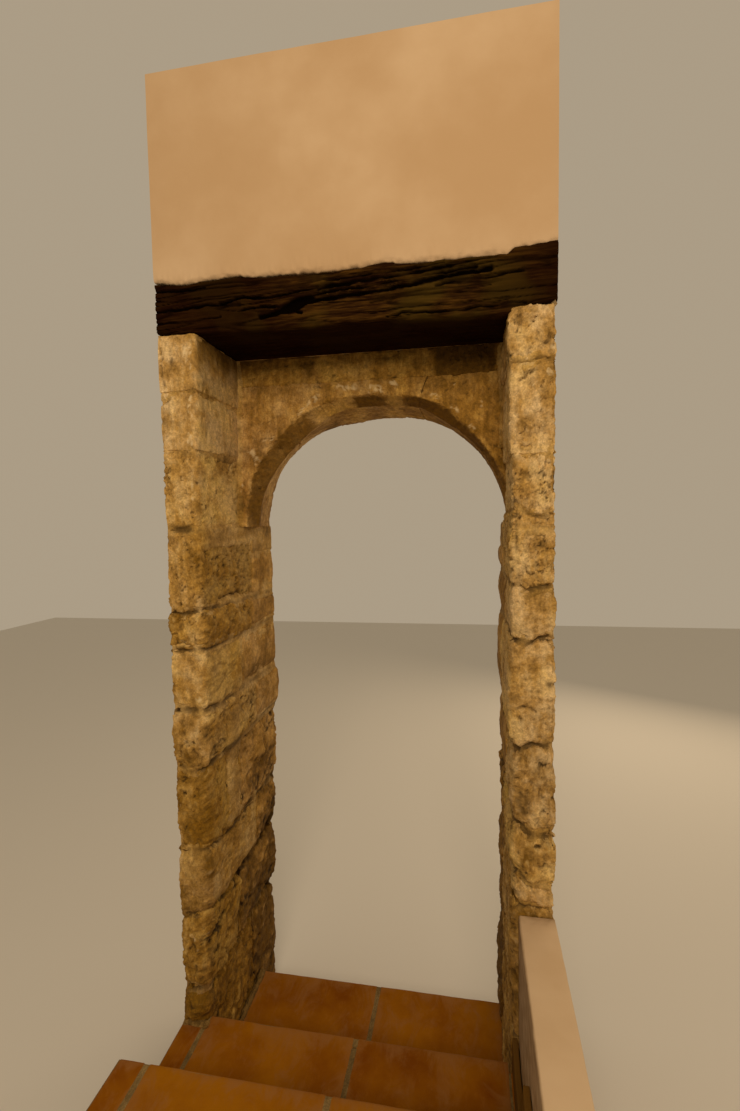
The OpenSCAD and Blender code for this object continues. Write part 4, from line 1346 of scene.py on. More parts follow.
# %% Timber edges and cracks
# Stops are X and height in millimetres. A crack has stops, a width and a depth, negative where it stands out.
TIMBER_TOP = [(-475, 2223), (-400, 2214), (-356, 2218), (-249, 2219), (-201, 2212), (-118, 2212), (-35, 2211),
              (41, 2210), (96, 2217), (137, 2210), (260, 2209), (365, 2205), (382, 2219), (420, 2221),
              (475, 2222)]
TIMBER_FOOT = [(-475, 2093), (-356, 2090), (0, 2084), (367, 2074), (422, 2088), (475, 2094)]
CRACKS = [
    ([(-60, 2172), (30, 2180), (132, 2183), (217, 2190), (290, 2200), (340, 2205)], 4.6, 10),
    ([(-40, 2186), (60, 2193), (140, 2194), (230, 2202)], 3.2, 6),
    ([(-200, 2118), (-159, 2125), (-114, 2140), (-66, 2146), (29, 2151), (131, 2158), (217, 2170),
      (330, 2178)], 4.6, 11),
    ([(-90, 2158), (-20, 2163), (60, 2166), (150, 2173), (300, 2186)], 3.4, 7),
    ([(211, 2153), (260, 2156), (320, 2158), (400, 2168)], 3.0, 6),
    ([(100, 2092), (135, 2100), (182, 2097), (229, 2094), (305, 2098), (405, 2102)], 2.4, 8),
    ([(60, 2106), (150, 2112), (260, 2110), (380, 2114)], 1.8, 5),
    ([(-470, 2198), (-400, 2197), (-340, 2199)], 2.4, 7),
    ([(-470, 2176), (-420, 2172), (-350, 2174)], 2.0, 6),
    ([(-470, 2152), (-400, 2151), (-340, 2155), (-250, 2150)], 2.6, 7),
    ([(-470, 2124), (-390, 2120), (-300, 2126)], 2.0, 5),
    ([(-301, 2155), (-241, 2166), (-180, 2160), (-120, 2168), (-60, 2176)], 3.2, 10),
    ([(-250, 2136), (-200, 2140), (-150, 2136), (-100, 2120)], 2.4, 8),
    ([(60, 2130), (140, 2137), (230, 2136), (330, 2142)], 1.8, 4),
    ([(421, 2196), (423, 2170), (424, 2140)], 1.6, -1.5),
]
KNOT_PLACE, KNOT_SIZE, KNOT_DEPTH, KNOT_TILT = (-112, 2141), (40, 13), 15, 0.35


def pressed(x, z):
    """How deep the cracks and the knot hollow go at points of the timber's face, all in millimetres."""
    face = np.c_[x, z]
    spread = np.c_[x / 2.2, z, np.zeros(len(x))]
    shaken = face + np.c_[np.zeros(len(x)), 3.0 * ripple(spread, 14, 71) + 1.8 * ripple(spread, 5, 72)]
    share = np.clip(0.85 + 0.7 * ripple(spread, 24, 73), 0.3, 1)
    depth, lips = np.zeros_like(x), np.zeros_like(x)
    for path, width, full in CRACKS:
        distance = line_distance(shaken, path)
        near = np.exp(-(distance / width) ** 2)
        depth = np.maximum(depth, full * near * share) if full > 0 else depth + full * near
        lips = np.maximum(lips, 0.15 * full * share * np.exp(-((distance - 2 * width) / width) ** 2))
    over, up = x - KNOT_PLACE[0], z - KNOT_PLACE[1]
    turned_x = over * math.cos(KNOT_TILT) + up * math.sin(KNOT_TILT)
    turned_z = up * math.cos(KNOT_TILT) - over * math.sin(KNOT_TILT)
    broken = 1 + 0.5 * ripple(spread, 16, 74)
    in_knot = (turned_x / KNOT_SIZE[0]) ** 2 + (turned_z / KNOT_SIZE[1]) ** 2
    hollow = KNOT_DEPTH * np.exp(-in_knot ** 2 * broken)
    return np.where(np.maximum(depth, hollow) > lips, np.maximum(depth, hollow), -lips)


# %% Timber shape
def carried(section, stations, along):
    """Rings of a section that is carried along X, axis 0, or along Y, axis 1."""
    rings = np.zeros((len(stations), len(section), 3))
    rings[..., along] = stations[:, None]
    rings[..., [axis for axis in range(3) if axis != along]] = section
    return rings


low, high = (np.array(corner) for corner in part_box("timber_lintel"))
low[2] = PIER_TOP
section, looks, shown = outline([
    (low[1], low[2], 14 * MM, 6 * MM, 1), (high[1], low[2], 0, 40 * MM, 0),
    (high[1], high[2], 0, 40 * MM, 0), (low[1], high[2], 9 * MM, 2.1 * MM, 1),
])
stations = even(low[0], high[0], 2.8 * MM)
rings = carried(section, stations, 0)
x_mm = rings[..., 0] / MM
top_edge = np.interp(x_mm, *np.array(TIMBER_TOP, float).T) * MM
foot_edge = np.interp(x_mm, *np.array(TIMBER_FOOT, float).T) * MM
height_share = (rings[..., 2] - low[2]) / (high[2] - low[2])
front_share = np.clip((high[1] - rings[..., 1]) / (high[1] - low[1]), 0.15, 1)
bent = foot_edge + height_share * (top_edge - foot_edge)
rings[..., 2] += front_share * (bent - rings[..., 2])
flat = rings.reshape(-1, 3)
wander = flat + np.c_[0 * flat[:, :2], 0.012 * ripple(flat / (0.16, 0.3, 0.12), 1.0, 45)]
fibre = 2.6 * ripple(wander / (0.28, 0.05, 0.012), 1.0, 41)
fibre += 1.2 * ripple(wander / (0.09, 0.03, 0.006), 1.0, 42)
checks = 3.5 * np.exp(-(ripple(wander / (0.2, 0.05, 0.02), 1.0, 46) / 0.07) ** 2)
swells = 6.0 * ripple(flat / (0.2, 0.2, 0.07), 1.0, 43) + 3.0 * ripple(flat, 0.035, 44)
cut = pressed(flat[:, 0] / MM, flat[:, 2] / MM)
on_face = np.clip(-np.tile(looks[:, 0], len(stations)), 0, 1)
cut = np.where(checks > 0.5, np.maximum(cut, checks), cut)
raised = (fibre + swells - cut * on_face - 4) * MM * np.tile(shown, len(stations))
flat[:, 1:] += raised[:, None] * np.tile(looks, (len(stations), 1))
timber = loft("timber_beam", flat.reshape(rings.shape))
write_values(timber, hollow=np.clip(cut * on_face / 5.5 - 0.1 * fibre, 0, 1),
             relief=(fibre - cut) * on_face / 3)

# %% Old timber
# Chestnut, hewn with an axe, oiled by smoke and hands: nearly black, brown on its ridges from wear and a
# painted highlight, darkened with painted shade on its underside and towards its ends, hardly any shine.
CHAR, BROWN, OLIVE_BROWN, RUBBED_HIGHLIGHT_BROWN, SHADE_BROWN, CRACK_BLACK = (
    linear(shade) for shade in ("#221106", "#4f3511", "#433410", "#4f3812", "#1b0902", "#060200"))
BARE_MIDDLE = 110 * MM
old_timber, tree, here = new_paint("hewn_old_chestnut")
along_grain = add(tree, "Mapping", None, {"Vector": here, "Scale": (1.0, 9.0, 14.0)})
fibres = add(tree, "TexNoise", None,
             {"Vector": along_grain, "Scale": 1 / (90 * MM), "Detail": 7.0, "Roughness": 0.66})
patches = add(tree, "TexNoise", None, {"Vector": here, "Scale": 1 / (130 * MM), "Detail": 3.0})
hollow = add(tree, "Attribute", {"attribute_name": "hollow"}).node.outputs["Fac"]
relief = add(tree, "Attribute", {"attribute_name": "relief"}).node.outputs["Fac"]
lit = add(tree, "MapRange", SMOOTH, {"Value": fibres, "From Min": 0.4, "From Max": 0.7})
base = add(tree, "Mix", COLOUR, {"Factor": lit, "A": CHAR, "B": BROWN})
olive = add(tree, "MapRange", SMOOTH, {"Value": patches, "From Min": 0.46, "From Max": 0.62, "To Max": 0.75})
worn_tone = add(tree, "Mix", COLOUR, {"Factor": olive, "A": base, "B": OLIVE_BROWN})
# Wear and painted highlight: raised fibres are mixed towards a paler brown.
rubbed_and_highlit = add(tree, "MapRange", SMOOTH, {"Value": relief, "From Min": 0.1, "From Max": 1.0, "To Max": 0.5})
scuffed = add(tree, "Mix", COLOUR, {"Factor": rubbed_and_highlit, "A": worn_tone, "B": RUBBED_HIGHLIGHT_BROWN})
place = add(tree, "SeparateXYZ", None, [here]).node.outputs
# Painted shade: the timber is darkened towards both ends and on its underside.
from_middle = add(tree, "Math", SUBTRACT, [place["X"], BARE_MIDDLE])
to_an_end = add(tree, "Math", ABSOLUTE, [from_middle])
shaded_ends = add(tree, "MapRange", SMOOTH,
                {"Value": to_an_end, "From Min": 0.12, "From Max": 0.4, "To Max": 0.75})
shaded_underside = add(tree, "MapRange", SMOOTH,
                 {"Value": place["Y"], "From Min": WALL_NEAR + 6 * MM, "From Max": WALL_NEAR + 40 * MM,
                  "To Max": 0.8})
timber_shade = add(tree, "Math", MAXIMUM, [shaded_ends, shaded_underside])
darkened = add(tree, "Mix", COLOUR, {"Factor": timber_shade, "A": scuffed, "B": SHADE_BROWN})
dark_crack = add(tree, "Mix", COLOUR, {"Factor": hollow, "A": darkened, "B": CRACK_BLACK})
bump = add(tree, "Bump", None, {"Strength": 0.7, "Distance": 1.5 * MM, "Height": fibres})
end_paint(tree, dark_crack, 0.82, bump, ior=1.15, specular=0.1)
timber.data.materials.append(old_timber)
settle(timber, ["timber_lintel"])

# %% [markdown]
# ## Plaster
#
# Lime plaster was laid on with a steel trowel, so the wall is not flat but
# swells by a millimetre or two over an arm's length. Where it meets the
# timber it was rounded off by hand, and crumbs of it stick to the wood.

# %% Plaster material
# Lime plaster, trowelled and limewashed long ago: two close warm tones in soft clouds, a sandy matt skin.
PALE_PLASTER, DEEP_PLASTER, PLASTER_DIRT_AND_SHADE = (linear(shade) for shade in ("#d0b592", "#bd9e78", "#6b4c1c"))
lime_plaster, tree, here = new_paint("trowelled_lime_plaster")
clouds = add(tree, "TexNoise", None,
             {"Vector": here, "Scale": 1 / (420 * MM), "Detail": 5.0, "Roughness": 0.55})
spread = add(tree, "MapRange", SMOOTH, {"Value": clouds, "From Min": 0.3, "From Max": 0.7})
base = add(tree, "Mix", COLOUR, {"Factor": spread, "A": PALE_PLASTER, "B": DEEP_PLASTER})
soil = add(tree, "Attribute", {"attribute_name": "soil"}).node.outputs["Fac"]
soiled = add(tree, "Mix", COLOUR, {"Factor": soil, "A": base, "B": PLASTER_DIRT_AND_SHADE})
sand = add(tree, "TexNoise", None, {"Vector": here, "Scale": 1 / SAND_SIZE, "Detail": 4.0, "Roughness": 0.6})
trowel = add(tree, "TexNoise", None, {"Vector": here, "Scale": 1 / (60 * MM), "Detail": 3.0})
skin = add(tree, "Math", TIMES_PLUS, [sand, 0.12, trowel])
bump = add(tree, "Bump", None, {"Strength": 0.35, "Distance": 4 * MM, "Height": skin})
end_paint(tree, soiled, 0.88, bump, ior=1.5, specular=0.15)
print("plaster material:", len(tree.nodes), "nodes")

# %% Plaster coats
PLASTER_LIP = 9 * MM


def plaster_coat(name, node, face_y, foot, seed):
    """A coat on one side of the wall. Foot gives the height of its lower edge along X."""
    low, high = (np.array(corner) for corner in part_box(node))
    turn = 1 if face_y == low[1] else -1
    back = high[1] if turn == 1 else low[1]
    section, looks, shown = outline([
        (face_y * turn, low[2], PLASTER_LIP, 30 * MM, 1), (back * turn, low[2], 0, 60 * MM, 0),
        (back * turn, high[2], 0, 30 * MM, 0), (face_y * turn, high[2], 1 * MM, 10 * MM, 1),
    ])
    stations = even(low[0], high[0], 3.5 * MM if turn == 1 else 8 * MM)
    rings = carried(section, stations, 0)
    edge_shift = (foot(stations) - low[2])[:, None]
    fade = np.clip(1 - (rings[..., 2] - low[2]) / (60 * MM), 0, 1) ** 2
    rings[..., 2] += edge_shift * fade
    flat = rings.reshape(-1, 3)
    swell = (1.6 * ripple(flat, 0.25, seed) + 0.5 * ripple(flat, 0.05, seed + 1)) * MM
    near_foot = np.clip(1 - (flat[:, 2] - low[2]) / (25 * MM), 0, 1)
    swell += near_foot * (2.5 * ripple(flat, 0.012, seed + 2) + 2.5 * ripple(flat, 0.007, seed + 3)) * MM
    flat[:, 1] += (swell + 1.2 * MM) * np.tile(shown, len(stations))
    flat = flat * (1, turn, 1)
    coat = loft(name, flat.reshape(rings.shape))
    coat.data.materials.append(lime_plaster)
    settle(coat, [node])


def ragged_foot(stations):
    """The near coat ends on the timber's upper edge, with small runs and crumbs."""
    edge = np.interp(stations / MM, *np.array(TIMBER_TOP, float).T) * MM
    spots = np.c_[stations, 0 * stations, 0 * stations]
    return edge - 3 * MM + (3 * ripple(spots, 0.03, 51) + 3 * ripple(spots, 0.009, 52)) * MM


def level_foot(stations):
    """The far coat ends at the arch's levelling course."""
    spots = np.c_[stations, 0 * stations, 0 * stations]
    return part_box("far_plaster")[0].z + 3 * MM + 3 * MM * ripple(spots, 0.05, 53)


plaster_coat("near_plaster_coat", "near_plaster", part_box("near_plaster")[0].y, ragged_foot, 54)
plaster_coat("far_plaster_coat", "far_plaster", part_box("far_plaster")[1].y, level_foot, 57)

# %% [markdown]
# ## The kerb
#
# A low wall runs down beside the steps and hides the right pier's foot. It
# is plastered like the walls, with an edge rounded by the trowel, so its
# section is carried along Y.

# %% Kerb
low, high = (np.array(corner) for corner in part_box("stair_kerb"))
section, looks, shown = outline([
    (low[0], low[2], 0, 60 * MM, 0.3), (high[0], low[2], 0, 60 * MM, 0),
    (high[0], high[2], 3 * MM, 7 * MM, 1), (low[0], high[2], 6 * MM, 7 * MM, 1),
])
stations = even(low[1], high[1], 7 * MM)
rings = carried(section, stations, 1)
flat = rings.reshape(-1, 3)
swell = (-1.5 + 1.6 * ripple(flat, 0.16, 61) + 0.7 * ripple(flat, 0.03, 62)) * MM
swell *= np.tile(shown, len(stations))
flat[:, ::2] += swell[:, None] * np.tile(looks, (len(stations), 1))
kerb = loft("plastered_kerb", flat.reshape(rings.shape))
# Painted shade and dirt: the kerb's side that faces the steps is darkened.
shaded_side = np.clip(-np.tile(looks[:, 0], len(stations)), 0, 1)
patchy = 0.25 * ripple(flat, 0.03, 63) + 0.2 * ripple(flat, 0.01, 64)
near_pier = np.clip((flat[:, 1] - high[1]) / (45 * MM) + 1, 0, 1) ** 2
write_values(kerb, soil=np.clip(shaded_side * (0.55 + patchy) + near_pier * (0.5 + 2 * patchy), 0, 0.9))
kerb.data.materials.append(lime_plaster)
settle(kerb, ["stair_kerb"])

# %% [markdown]
# ## Rows of terracotta tiles
#
# The steps are covered with square terracotta tiles, cut where a row meets a
# wall. That is a rule, so one Geometry Nodes tree lays every row: it counts
# the tiles between two ends, stands a unit cube at each, and gives each cube
# its own two ends. The cube's grid lines crowd towards its edges, where a
# rounding formula needs them. Treads, risers and skirting are all rows.

# %% The tile tree: counting and placing
tree, given = new_tree("tile_row", {
    "Left": 0.0, "Right": 1.0, "Joint": 0.0, "Pitch": 400 * MM, "Grout": 7 * MM, "Back": 0.0, "Nose": 0.3,
    "Low": 0.0, "High": 20 * MM, "Edge Radius": 4 * MM, "Wave": 1.0 * MM, "Seed": 1.0,
})


def step_from_joint(distance_end, rounding):
    """Number of whole tiles from the known joint to an end of the row."""
    span = add(tree, "Math", SUBTRACT, [distance_end, given["Joint"]])
    share = add(tree, "Math", DIVIDE, [span, given["Pitch"]])
    return add(tree, "Math", {"operation": rounding}, [share])


first = step_from_joint(given["Left"], "FLOOR")
last = step_from_joint(given["Right"], "CEIL")
count = add(tree, "Math", SUBTRACT, [last, first])
spots = add(tree, "GeometryNodeMeshLine", None, {"Count": count})
number = add(tree, "Math", ADD, [add(tree, "GeometryNodeInputIndex"), first])
half_grout = add(tree, "Math", MULTIPLY, [given["Grout"], 0.5])
left_joint = add(tree, "Math", TIMES_PLUS, [number, given["Pitch"], given["Joint"]])
right_joint = add(tree, "Math", ADD, [left_joint, given["Pitch"]])
from_joint = add(tree, "Math", ADD, [left_joint, half_grout])
to_joint = add(tree, "Math", SUBTRACT, [right_joint, half_grout])
tile_from = add(tree, "Math", MAXIMUM, [given["Left"], from_joint])
tile_to = add(tree, "Math", MINIMUM, [given["Right"], to_joint])
tile_seed = add(tree, "Math", TIMES_PLUS, [given["Seed"], 17.0, number])
chance = add(tree, "TexWhiteNoise", {"noise_dimensions": "1D"}, {"W": tile_seed})
for label, value in (("from", tile_from), ("to", tile_to), ("tone", chance.node.outputs["Value"])):
    spots = add(tree, "GeometryNodeStoreNamedAttribute", POINT_VALUE,
                {"Geometry": spots, "Name": label, "Value": value})
# %% The tile tree: shaping
cube = add(tree, "GeometryNodeMeshCube", None,
           {"Size": (2, 2, 2), "Vertices X": 26, "Vertices Y": 22, "Vertices Z": 5})
unit_cube = add(tree, "GeometryNodeStoreNamedAttribute", {"data_type": "FLOAT_VECTOR", "domain": "POINT"},
                {"Geometry": cube, "Name": "unit", "Value": add(tree, "GeometryNodeInputPosition")})
stood = add(tree, "GeometryNodeInstanceOnPoints", None, {"Points": spots, "Instance": unit_cube})
real = add(tree, "GeometryNodeRealizeInstances", None, [stood])
unit = add(tree, "GeometryNodeInputNamedAttribute", {"data_type": "FLOAT_VECTOR"}, {"Name": "unit"})
quarter_turns = add(tree, "VectorMath", MULTIPLY, [unit, (math.pi / 2,) * 3])
crowded = add(tree, "VectorMath", {"operation": "SINE"}, [quarter_turns])
shares = add(tree, "VectorMath", TIMES_PLUS, [crowded, (0.5,) * 3, (0.5,) * 3])
ends = [add(tree, "GeometryNodeInputNamedAttribute", None, {"Name": label}) for label in ("from", "to")]
near_corner = add(tree, "CombineXYZ", None, [ends[0], given["Back"], given["Low"]])
far_corner = add(tree, "CombineXYZ", None, [ends[1], given["Nose"], given["High"]])
span = add(tree, "VectorMath", SUBTRACT, [far_corner, near_corner])
boxed = add(tree, "VectorMath", TIMES_PLUS, [shares, span, near_corner])
radius = add(tree, "CombineXYZ", None, [given["Edge Radius"]] * 3)
core_low = add(tree, "VectorMath", ADD, [near_corner, radius])
core_high = add(tree, "VectorMath", SUBTRACT, [far_corner, radius])
at_most = add(tree, "VectorMath", MINIMUM, [boxed, core_high])
core = add(tree, "VectorMath", MAXIMUM, [at_most, core_low])
away = add(tree, "VectorMath", SUBTRACT, [boxed, core])
way = add(tree, "VectorMath", {"operation": "NORMALIZE"}, [away])
rounded = add(tree, "VectorMath", TIMES_PLUS, [way, radius, core])
waves = add(tree, "TexNoise", NOISE_4D,
            {"Vector": rounded, "W": given["Seed"], "Scale": 1 / (70 * MM), "Detail": 2.0})
wave_colour = waves.node.outputs["Color"]
wave_centred = add(tree, "VectorMath", SUBTRACT, [wave_colour, (0.5, 0.5, 0.7)])
wave_size = add(tree, "VectorMath", SCALE, {"Vector": wave_centred, "Scale": given["Wave"]})
final = add(tree, "VectorMath", TIMES_PLUS, [wave_size, (4, 4, 2), rounded])
laid = add(tree, "GeometryNodeSetPosition", None, {"Geometry": real, "Position": final})
end_tree(tree, laid, given["Material"])
tile_row = tree
print("tile tree:", len(tree.nodes), "nodes")

# %% [markdown]
# ## Terracotta
#
# Handmade tiles are pressed clay, fired unevenly, so no two are quite the
# same orange and each has paler and darker clouds. They were oiled and
# waxed, which deepens the colour and gives a soft broad gloss.

# %% Terracotta
# Fired clay, oiled and waxed: deep orange brown with paler scuffs and dust, and a faint broad gloss.
CLAY_DEEP, CLAY_PALE, DUST, SCUFF, TILE_DIRT_AND_SHADE = (
    linear(shade) for shade in ("#78420a", "#97600f", "#a06a2c", "#8f6236", "#5f4720"))
terracotta, tree, here = new_paint("waxed_terracotta")
tone_value = add(tree, "Attribute", {"attribute_name": "tone"}).node.outputs["Fac"]
clouds = add(tree, "TexNoise", None,
             {"Vector": here, "Scale": 1 / (150 * MM), "Detail": 5.0, "Roughness": 0.6})
share = add(tree, "Math", TIMES_PLUS, [clouds, 2.6, -1.1])
toned = add(tree, "Math", TIMES_PLUS_CLAMPED, [tone_value, 0.6, share])
base = add(tree, "Mix", COLOUR, {"Factor": toned, "A": CLAY_DEEP, "B": CLAY_PALE})
wiped = add(tree, "VectorMath", MULTIPLY, [here, (1, 0.5, 1)])
dust = add(tree, "TexNoise", None,
           {"Vector": wiped, "Scale": 1 / (22 * MM), "Detail": 7.0, "Roughness": 0.75})
haze = add(tree, "TexNoise", None,
           {"Vector": wiped, "Scale": 1 / (60 * MM), "Detail": 5.0, "Roughness": 0.68, "Distortion": 0.8})
unit_place = add(tree, "Attribute", {"attribute_name": "unit"}).node.outputs["Vector"]
unit_size = add(tree, "VectorMath", ABSOLUTE, [unit_place])
unit_part = add(tree, "SeparateXYZ", None, [unit_size]).node.outputs
to_edge = add(tree, "Math", MAXIMUM, [unit_part["X"], unit_part["Y"]])
rimmed = add(tree, "MapRange", SMOOTH, {"Value": to_edge, "From Min": 0.35, "From Max": 1.0, "To Max": 0.2})
edge_haze = add(tree, "Math", ADD, [haze, rimmed])
dusty = add(tree, "MapRange", SMOOTH, {"Value": dust, "From Min": 0.5, "From Max": 0.74, "To Max": 0.3})
powdered = add(tree, "Mix", COLOUR, {"Factor": dusty, "A": base, "B": DUST})
hazy = add(tree, "MapRange", SMOOTH, {"Value": edge_haze, "From Min": 0.48, "From Max": 0.76, "To Max": 0.7})
scuffed = add(tree, "Mix", COLOUR, {"Factor": hazy, "A": powdered, "B": SCUFF})
soil = add(tree, "Attribute", {"attribute_name": "soil"}).node.outputs["Fac"]
soiled = add(tree, "Mix", COLOUR, {"Factor": soil, "A": scuffed, "B": TILE_DIRT_AND_SHADE})
shine = add(tree, "MapRange", None,
            {"Value": dust, "From Min": 0.3, "From Max": 0.7, "To Min": 0.5, "To Max": 0.65})
bump = add(tree, "Bump", None, {"Strength": 0.25, "Distance": 1.5 * MM, "Height": dust})
end_paint(tree, soiled, shine, bump, ior=1.08, specular=0.06)
print("terracotta:", len(tree.nodes), "nodes")

# %% Tile measures
STAIR_LEFT, STAIR_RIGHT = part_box("upper_tread")[0].x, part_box("upper_tread")[1].x
LOW_LEFT, LOW_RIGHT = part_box("lower_tread")[0].x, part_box("lower_tread")[1].x
PITCH, GROUT = 400 * MM, 6 * MM
TILE_THICK, RISER_THICK, NOSING = 20 * MM, 14 * MM, 15 * MM
NOSES = [115 * MM, -225 * MM, -510 * MM]
TILE_JOINTS = [-10 * MM, -10 * MM, -3 * MM]
TREAD_TOPS = [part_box(node)[1].z for node in ("lower_tread", "middle_tread", "upper_tread")]
STAIR_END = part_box("upper_tread")[0].y
PIER_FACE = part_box("left_quoin_1")[0].y
RISER_FACES = [nose - NOSING for nose in NOSES]
TREAD_BOTTOMS = [top - TILE_THICK for top in TREAD_TOPS]
print("tread tops:", [round(top, 3) for top in TREAD_TOPS])


# %% Tile rows
def tiles(name, left, right, joint, back, nose, low, high, radius, seed):
    """One row of tiles from the tree."""
    row = put(name, bpy.data.meshes.new(name))
    sizes = {"Left": left, "Right": right, "Joint": joint, "Pitch": PITCH, "Grout": GROUT, "Back": back,
             "Nose": nose, "Low": low, "High": high, "Edge Radius": radius, "Seed": float(seed)}
    shape(row, tile_row, terracotta, sizes)
    pieces.append(row)
    return row


middle_joint = TILE_JOINTS[1] - PITCH
lower = tiles("lower_tread_tiles", LOW_LEFT, LOW_RIGHT, TILE_JOINTS[0], RISER_FACES[1], NOSES[0],
              TREAD_BOTTOMS[0], TREAD_TOPS[0], 6 * MM, 1)
settle(lower, ["lower_tread"])
middle = [
    tiles("middle_tread_tiles", STAIR_LEFT, middle_joint - GROUT / 2, middle_joint, RISER_FACES[2], PIER_FACE,
          TREAD_BOTTOMS[1], TREAD_TOPS[1], 5 * MM, 2),
    tiles("middle_tile_row", middle_joint + GROUT / 2, LOW_RIGHT, TILE_JOINTS[1], RISER_FACES[2], NOSES[1],
          TREAD_BOTTOMS[1], TREAD_TOPS[1], 6 * MM, 3),
    tiles("middle_tile_strip", LOW_RIGHT, STAIR_RIGHT, TILE_JOINTS[1], RISER_FACES[2], PIER_FACE,
          TREAD_BOTTOMS[1], TREAD_TOPS[1], 5 * MM, 3),
]
settle(join("middle_tread_tiles", middle), ["middle_tread"])
upper = tiles("upper_tread_tiles", STAIR_LEFT, STAIR_RIGHT, TILE_JOINTS[2], STAIR_END, NOSES[2],
              TREAD_BOTTOMS[2], TREAD_TOPS[2], 6 * MM, 5)
settle(upper, ["upper_tread"])

# %% Risers
spans = [(LOW_LEFT, LOW_RIGHT, 0.0), (LOW_LEFT, LOW_RIGHT, TREAD_TOPS[0]),
         (STAIR_LEFT, STAIR_RIGHT, TREAD_TOPS[1])]
risers = [
    tiles(f"riser_row_{step + 1}", left, right, TILE_JOINTS[step], RISER_FACES[step] - RISER_THICK,
          RISER_FACES[step], foot, TREAD_BOTTOMS[step], 3 * MM, 7 + step)
    for step, (left, right, foot) in enumerate(spans)]
settle(join("riser_tile_rows", risers), ["riser_tiles"])

# %% Skirting along the kerb
SKIRTING_HIGH = 88 * MM
skirting_rows = []
for step, (start, end) in enumerate([(RISER_FACES[2], PIER_FACE), (STAIR_END, NOSES[2])]):
    floor_level = TREAD_TOPS[step + 1]
    row = tiles(f"skirting_row_{step + 1}", start, end, start + 30 * MM, -STAIR_RIGHT,
                RISER_THICK - STAIR_RIGHT, floor_level, floor_level + SKIRTING_HIGH, 3 * MM, 11 + step)
    row.data.transform(Matrix.Rotation(math.pi / 2, 4, "Z"))
    skirting_rows.append(row)
skirting = join("kerb_skirting_tiles", skirting_rows)
# The skirting is darkened all over: dirt, and painted shade of the kerb's shaded side.
write_values(skirting, soil=0.85)
settle(skirting, ["kerb_skirting"])

# %% [markdown]
# ## Grout and the core of the steps
#
# Under the tiles lies a bed of mortar, which shows as the flat grey-brown
# joints between them. Where the left pier stands on the treads, the gap was
# filled with mortar too. Below all that the steps are rubble.

# %% Grout beds
GROUT_BELOW = 1.2 * MM
beds = []
extents = [
    (0, LOW_LEFT, LOW_RIGHT, RISER_FACES[1], NOSES[0]),
    (1, STAIR_LEFT, STAIR_RIGHT, RISER_FACES[2], PIER_FACE),
    (1, middle_joint, LOW_RIGHT, PIER_FACE, NOSES[1]),
    (2, STAIR_LEFT, STAIR_RIGHT, STAIR_END, NOSES[2]),
]
for place, (step, left, right, back, nose) in enumerate(extents):
    corners = box_corners((left + 1 * MM, back), (right - 1 * MM, nose - 4 * MM), 1 * MM, [40 * MM] * 4,
                          [1] * 4)
    base, top = TREAD_BOTTOMS[step] + 1 * MM, TREAD_TOPS[step] - GROUT_BELOW
    bed = block(f"grout_bed_{place}", corners, base, top, 0.5 * MM, 0.0, 20 * MM, seed=90 + place)
    bed.data.materials.append(grey_grout)
    beds.append(bed)
settle(join("grout_beds", beds), [], tone=0.5)

# %% Mortar at the left pier's foot
FOOT_LOOK = {"lump": 3, "lump_size": 30, "grain": 1.6, "grain_size": 10, "pits": 2, "chips": 2}
FOOT_PATCHES = [
    ((STAIR_LEFT + 2 * MM, PIER_FACE - 16 * MM), (-398 * MM, PIER_FACE + 8 * MM),
     TREAD_TOPS[1], 4 * MM, 8 * MM, 5 * MM),
    ((LOW_LEFT + 1 * MM, RISER_FACES[1] + 4 * MM), (LOW_LEFT + 19 * MM, NOSES[0] - 3 * MM),
     TREAD_TOPS[0], 11 * MM, 6 * MM, 8 * MM),
]
patches = []
for place, (low, high, tread_top, rise, rounding, wear) in enumerate(FOOT_PATCHES, 1):
    patch = block(f"foot_patch_{place}", box_corners(low, high, rounding, [4 * MM] * 4, [1] * 4),
                  tread_top - 6 * MM, tread_top + rise, wear, 0.0, 3 * MM, seed=400 + place)
    weather(patch, lime_mortar, 403, **FOOT_LOOK)
    patches.append(patch)
settle(join("foot_mortar", patches), [], tone=0.7)

# %% [markdown]
# ## Rubble
#
# The masonry that the plaster and the tiles cover is rubble: stones as they
# came, laid in rough courses with thick joints. Where its ends show, one
# Geometry Nodes tree sinks the joints between random cells. The material
# finds the same cells from the same coordinates, so each stone gets a tone
# of its own.

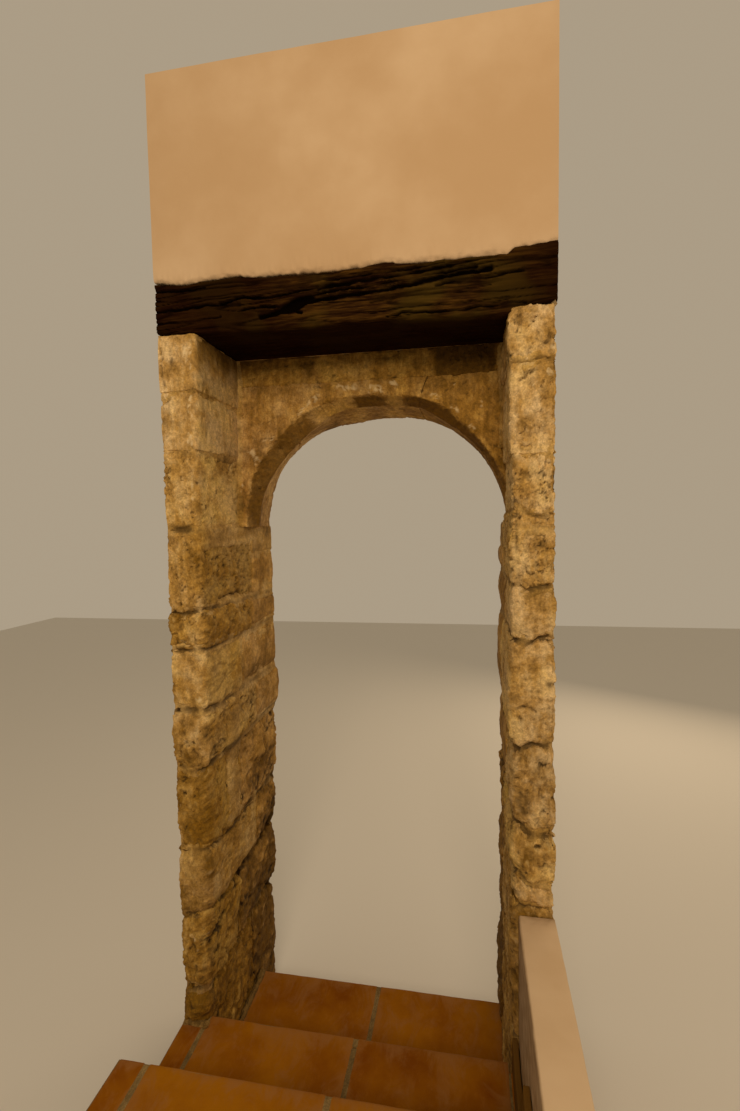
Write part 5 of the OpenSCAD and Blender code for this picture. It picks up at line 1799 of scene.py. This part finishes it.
# %% The rubble tree
tree, given = new_tree("rubble_wall", {"Joint Depth": 9 * MM, "Grain Depth": 5 * MM})
spot = add(tree, "GeometryNodeInputPosition")
joint, chance = rubble_cells(tree, spot)
sunk = add(tree, "MapRange", SMOOTH, {"Value": joint, "From Min": 0.16, "From Max": 0.03})
grain = add(tree, "TexNoise", None, {"Vector": spot, "Scale": 1 / (30 * MM), "Detail": 4.0, "Roughness": 0.6})
joint_cut = add(tree, "Math", MULTIPLY, [sunk, given["Joint Depth"]])
grain_high = add(tree, "Math", SUBTRACT, [grain, 0.7])
grain_part = add(tree, "Math", MULTIPLY, [grain_high, given["Grain Depth"]])
moved_by = add(tree, "Math", SUBTRACT, [grain_part, joint_cut])
worn_mask = add(tree, "GeometryNodeInputNamedAttribute", None, {"Name": "worn"})
masked = add(tree, "Math", MULTIPLY, [moved_by, worn_mask])
outwards = add(tree, "GeometryNodeInputNormal")
offset = add(tree, "VectorMath", SCALE, {"Vector": outwards, "Scale": masked})
moved = add(tree, "GeometryNodeSetPosition", None, {"Geometry": given["Geometry"], "Offset": offset})
end_tree(tree, moved, given["Material"])
rubble_wall = tree
print("rubble tree:", len(tree.nodes), "nodes")

# %% Rubble pieces
CORE_BACK = 14 * MM


def rubble(name, low, high, shown):
    """A block of rubble. Shown is a mask for its near, right, far and left side."""
    steps = [10 * MM if seen else 60 * MM for seen in shown]
    part = block(name, box_corners(low, high, 2 * MM, steps, shown), low[2], high[2],
                 wear=2 * MM, swell=0.0, step=10 * MM, seed=501)
    shape(part, rubble_wall, coursed_rubble, {})
    return part


for name, node in (("upper_wall_rubble", "upper_wall"), ("backing_rubble", "backing_course")):
    settle(rubble(name, *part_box(node), (0, 1, 0, 1)), [node])
core_front = [riser_face - CORE_BACK for riser_face in RISER_FACES]
parts = [
    rubble("step_rubble", (LOW_LEFT, core_front[1], 0.0), (LOW_RIGHT, core_front[0], TREAD_BOTTOMS[0]),
           (0, 0, 1, 0)),
    rubble("stair_rubble", (STAIR_LEFT, core_front[2], 0.0), (STAIR_RIGHT, core_front[1], TREAD_BOTTOMS[1]),
           (0, 0, 0, 1)),
    rubble("stair_end_rubble", (STAIR_LEFT, STAIR_END, 0.0), (STAIR_RIGHT, core_front[2], TREAD_BOTTOMS[2]),
           (1, 0, 0, 1)),
]
settle(join("step_rubble", parts), ["step_masonry"])
print("all pieces:", sum(len(piece.data.polygons) for piece in pieces), "faces")
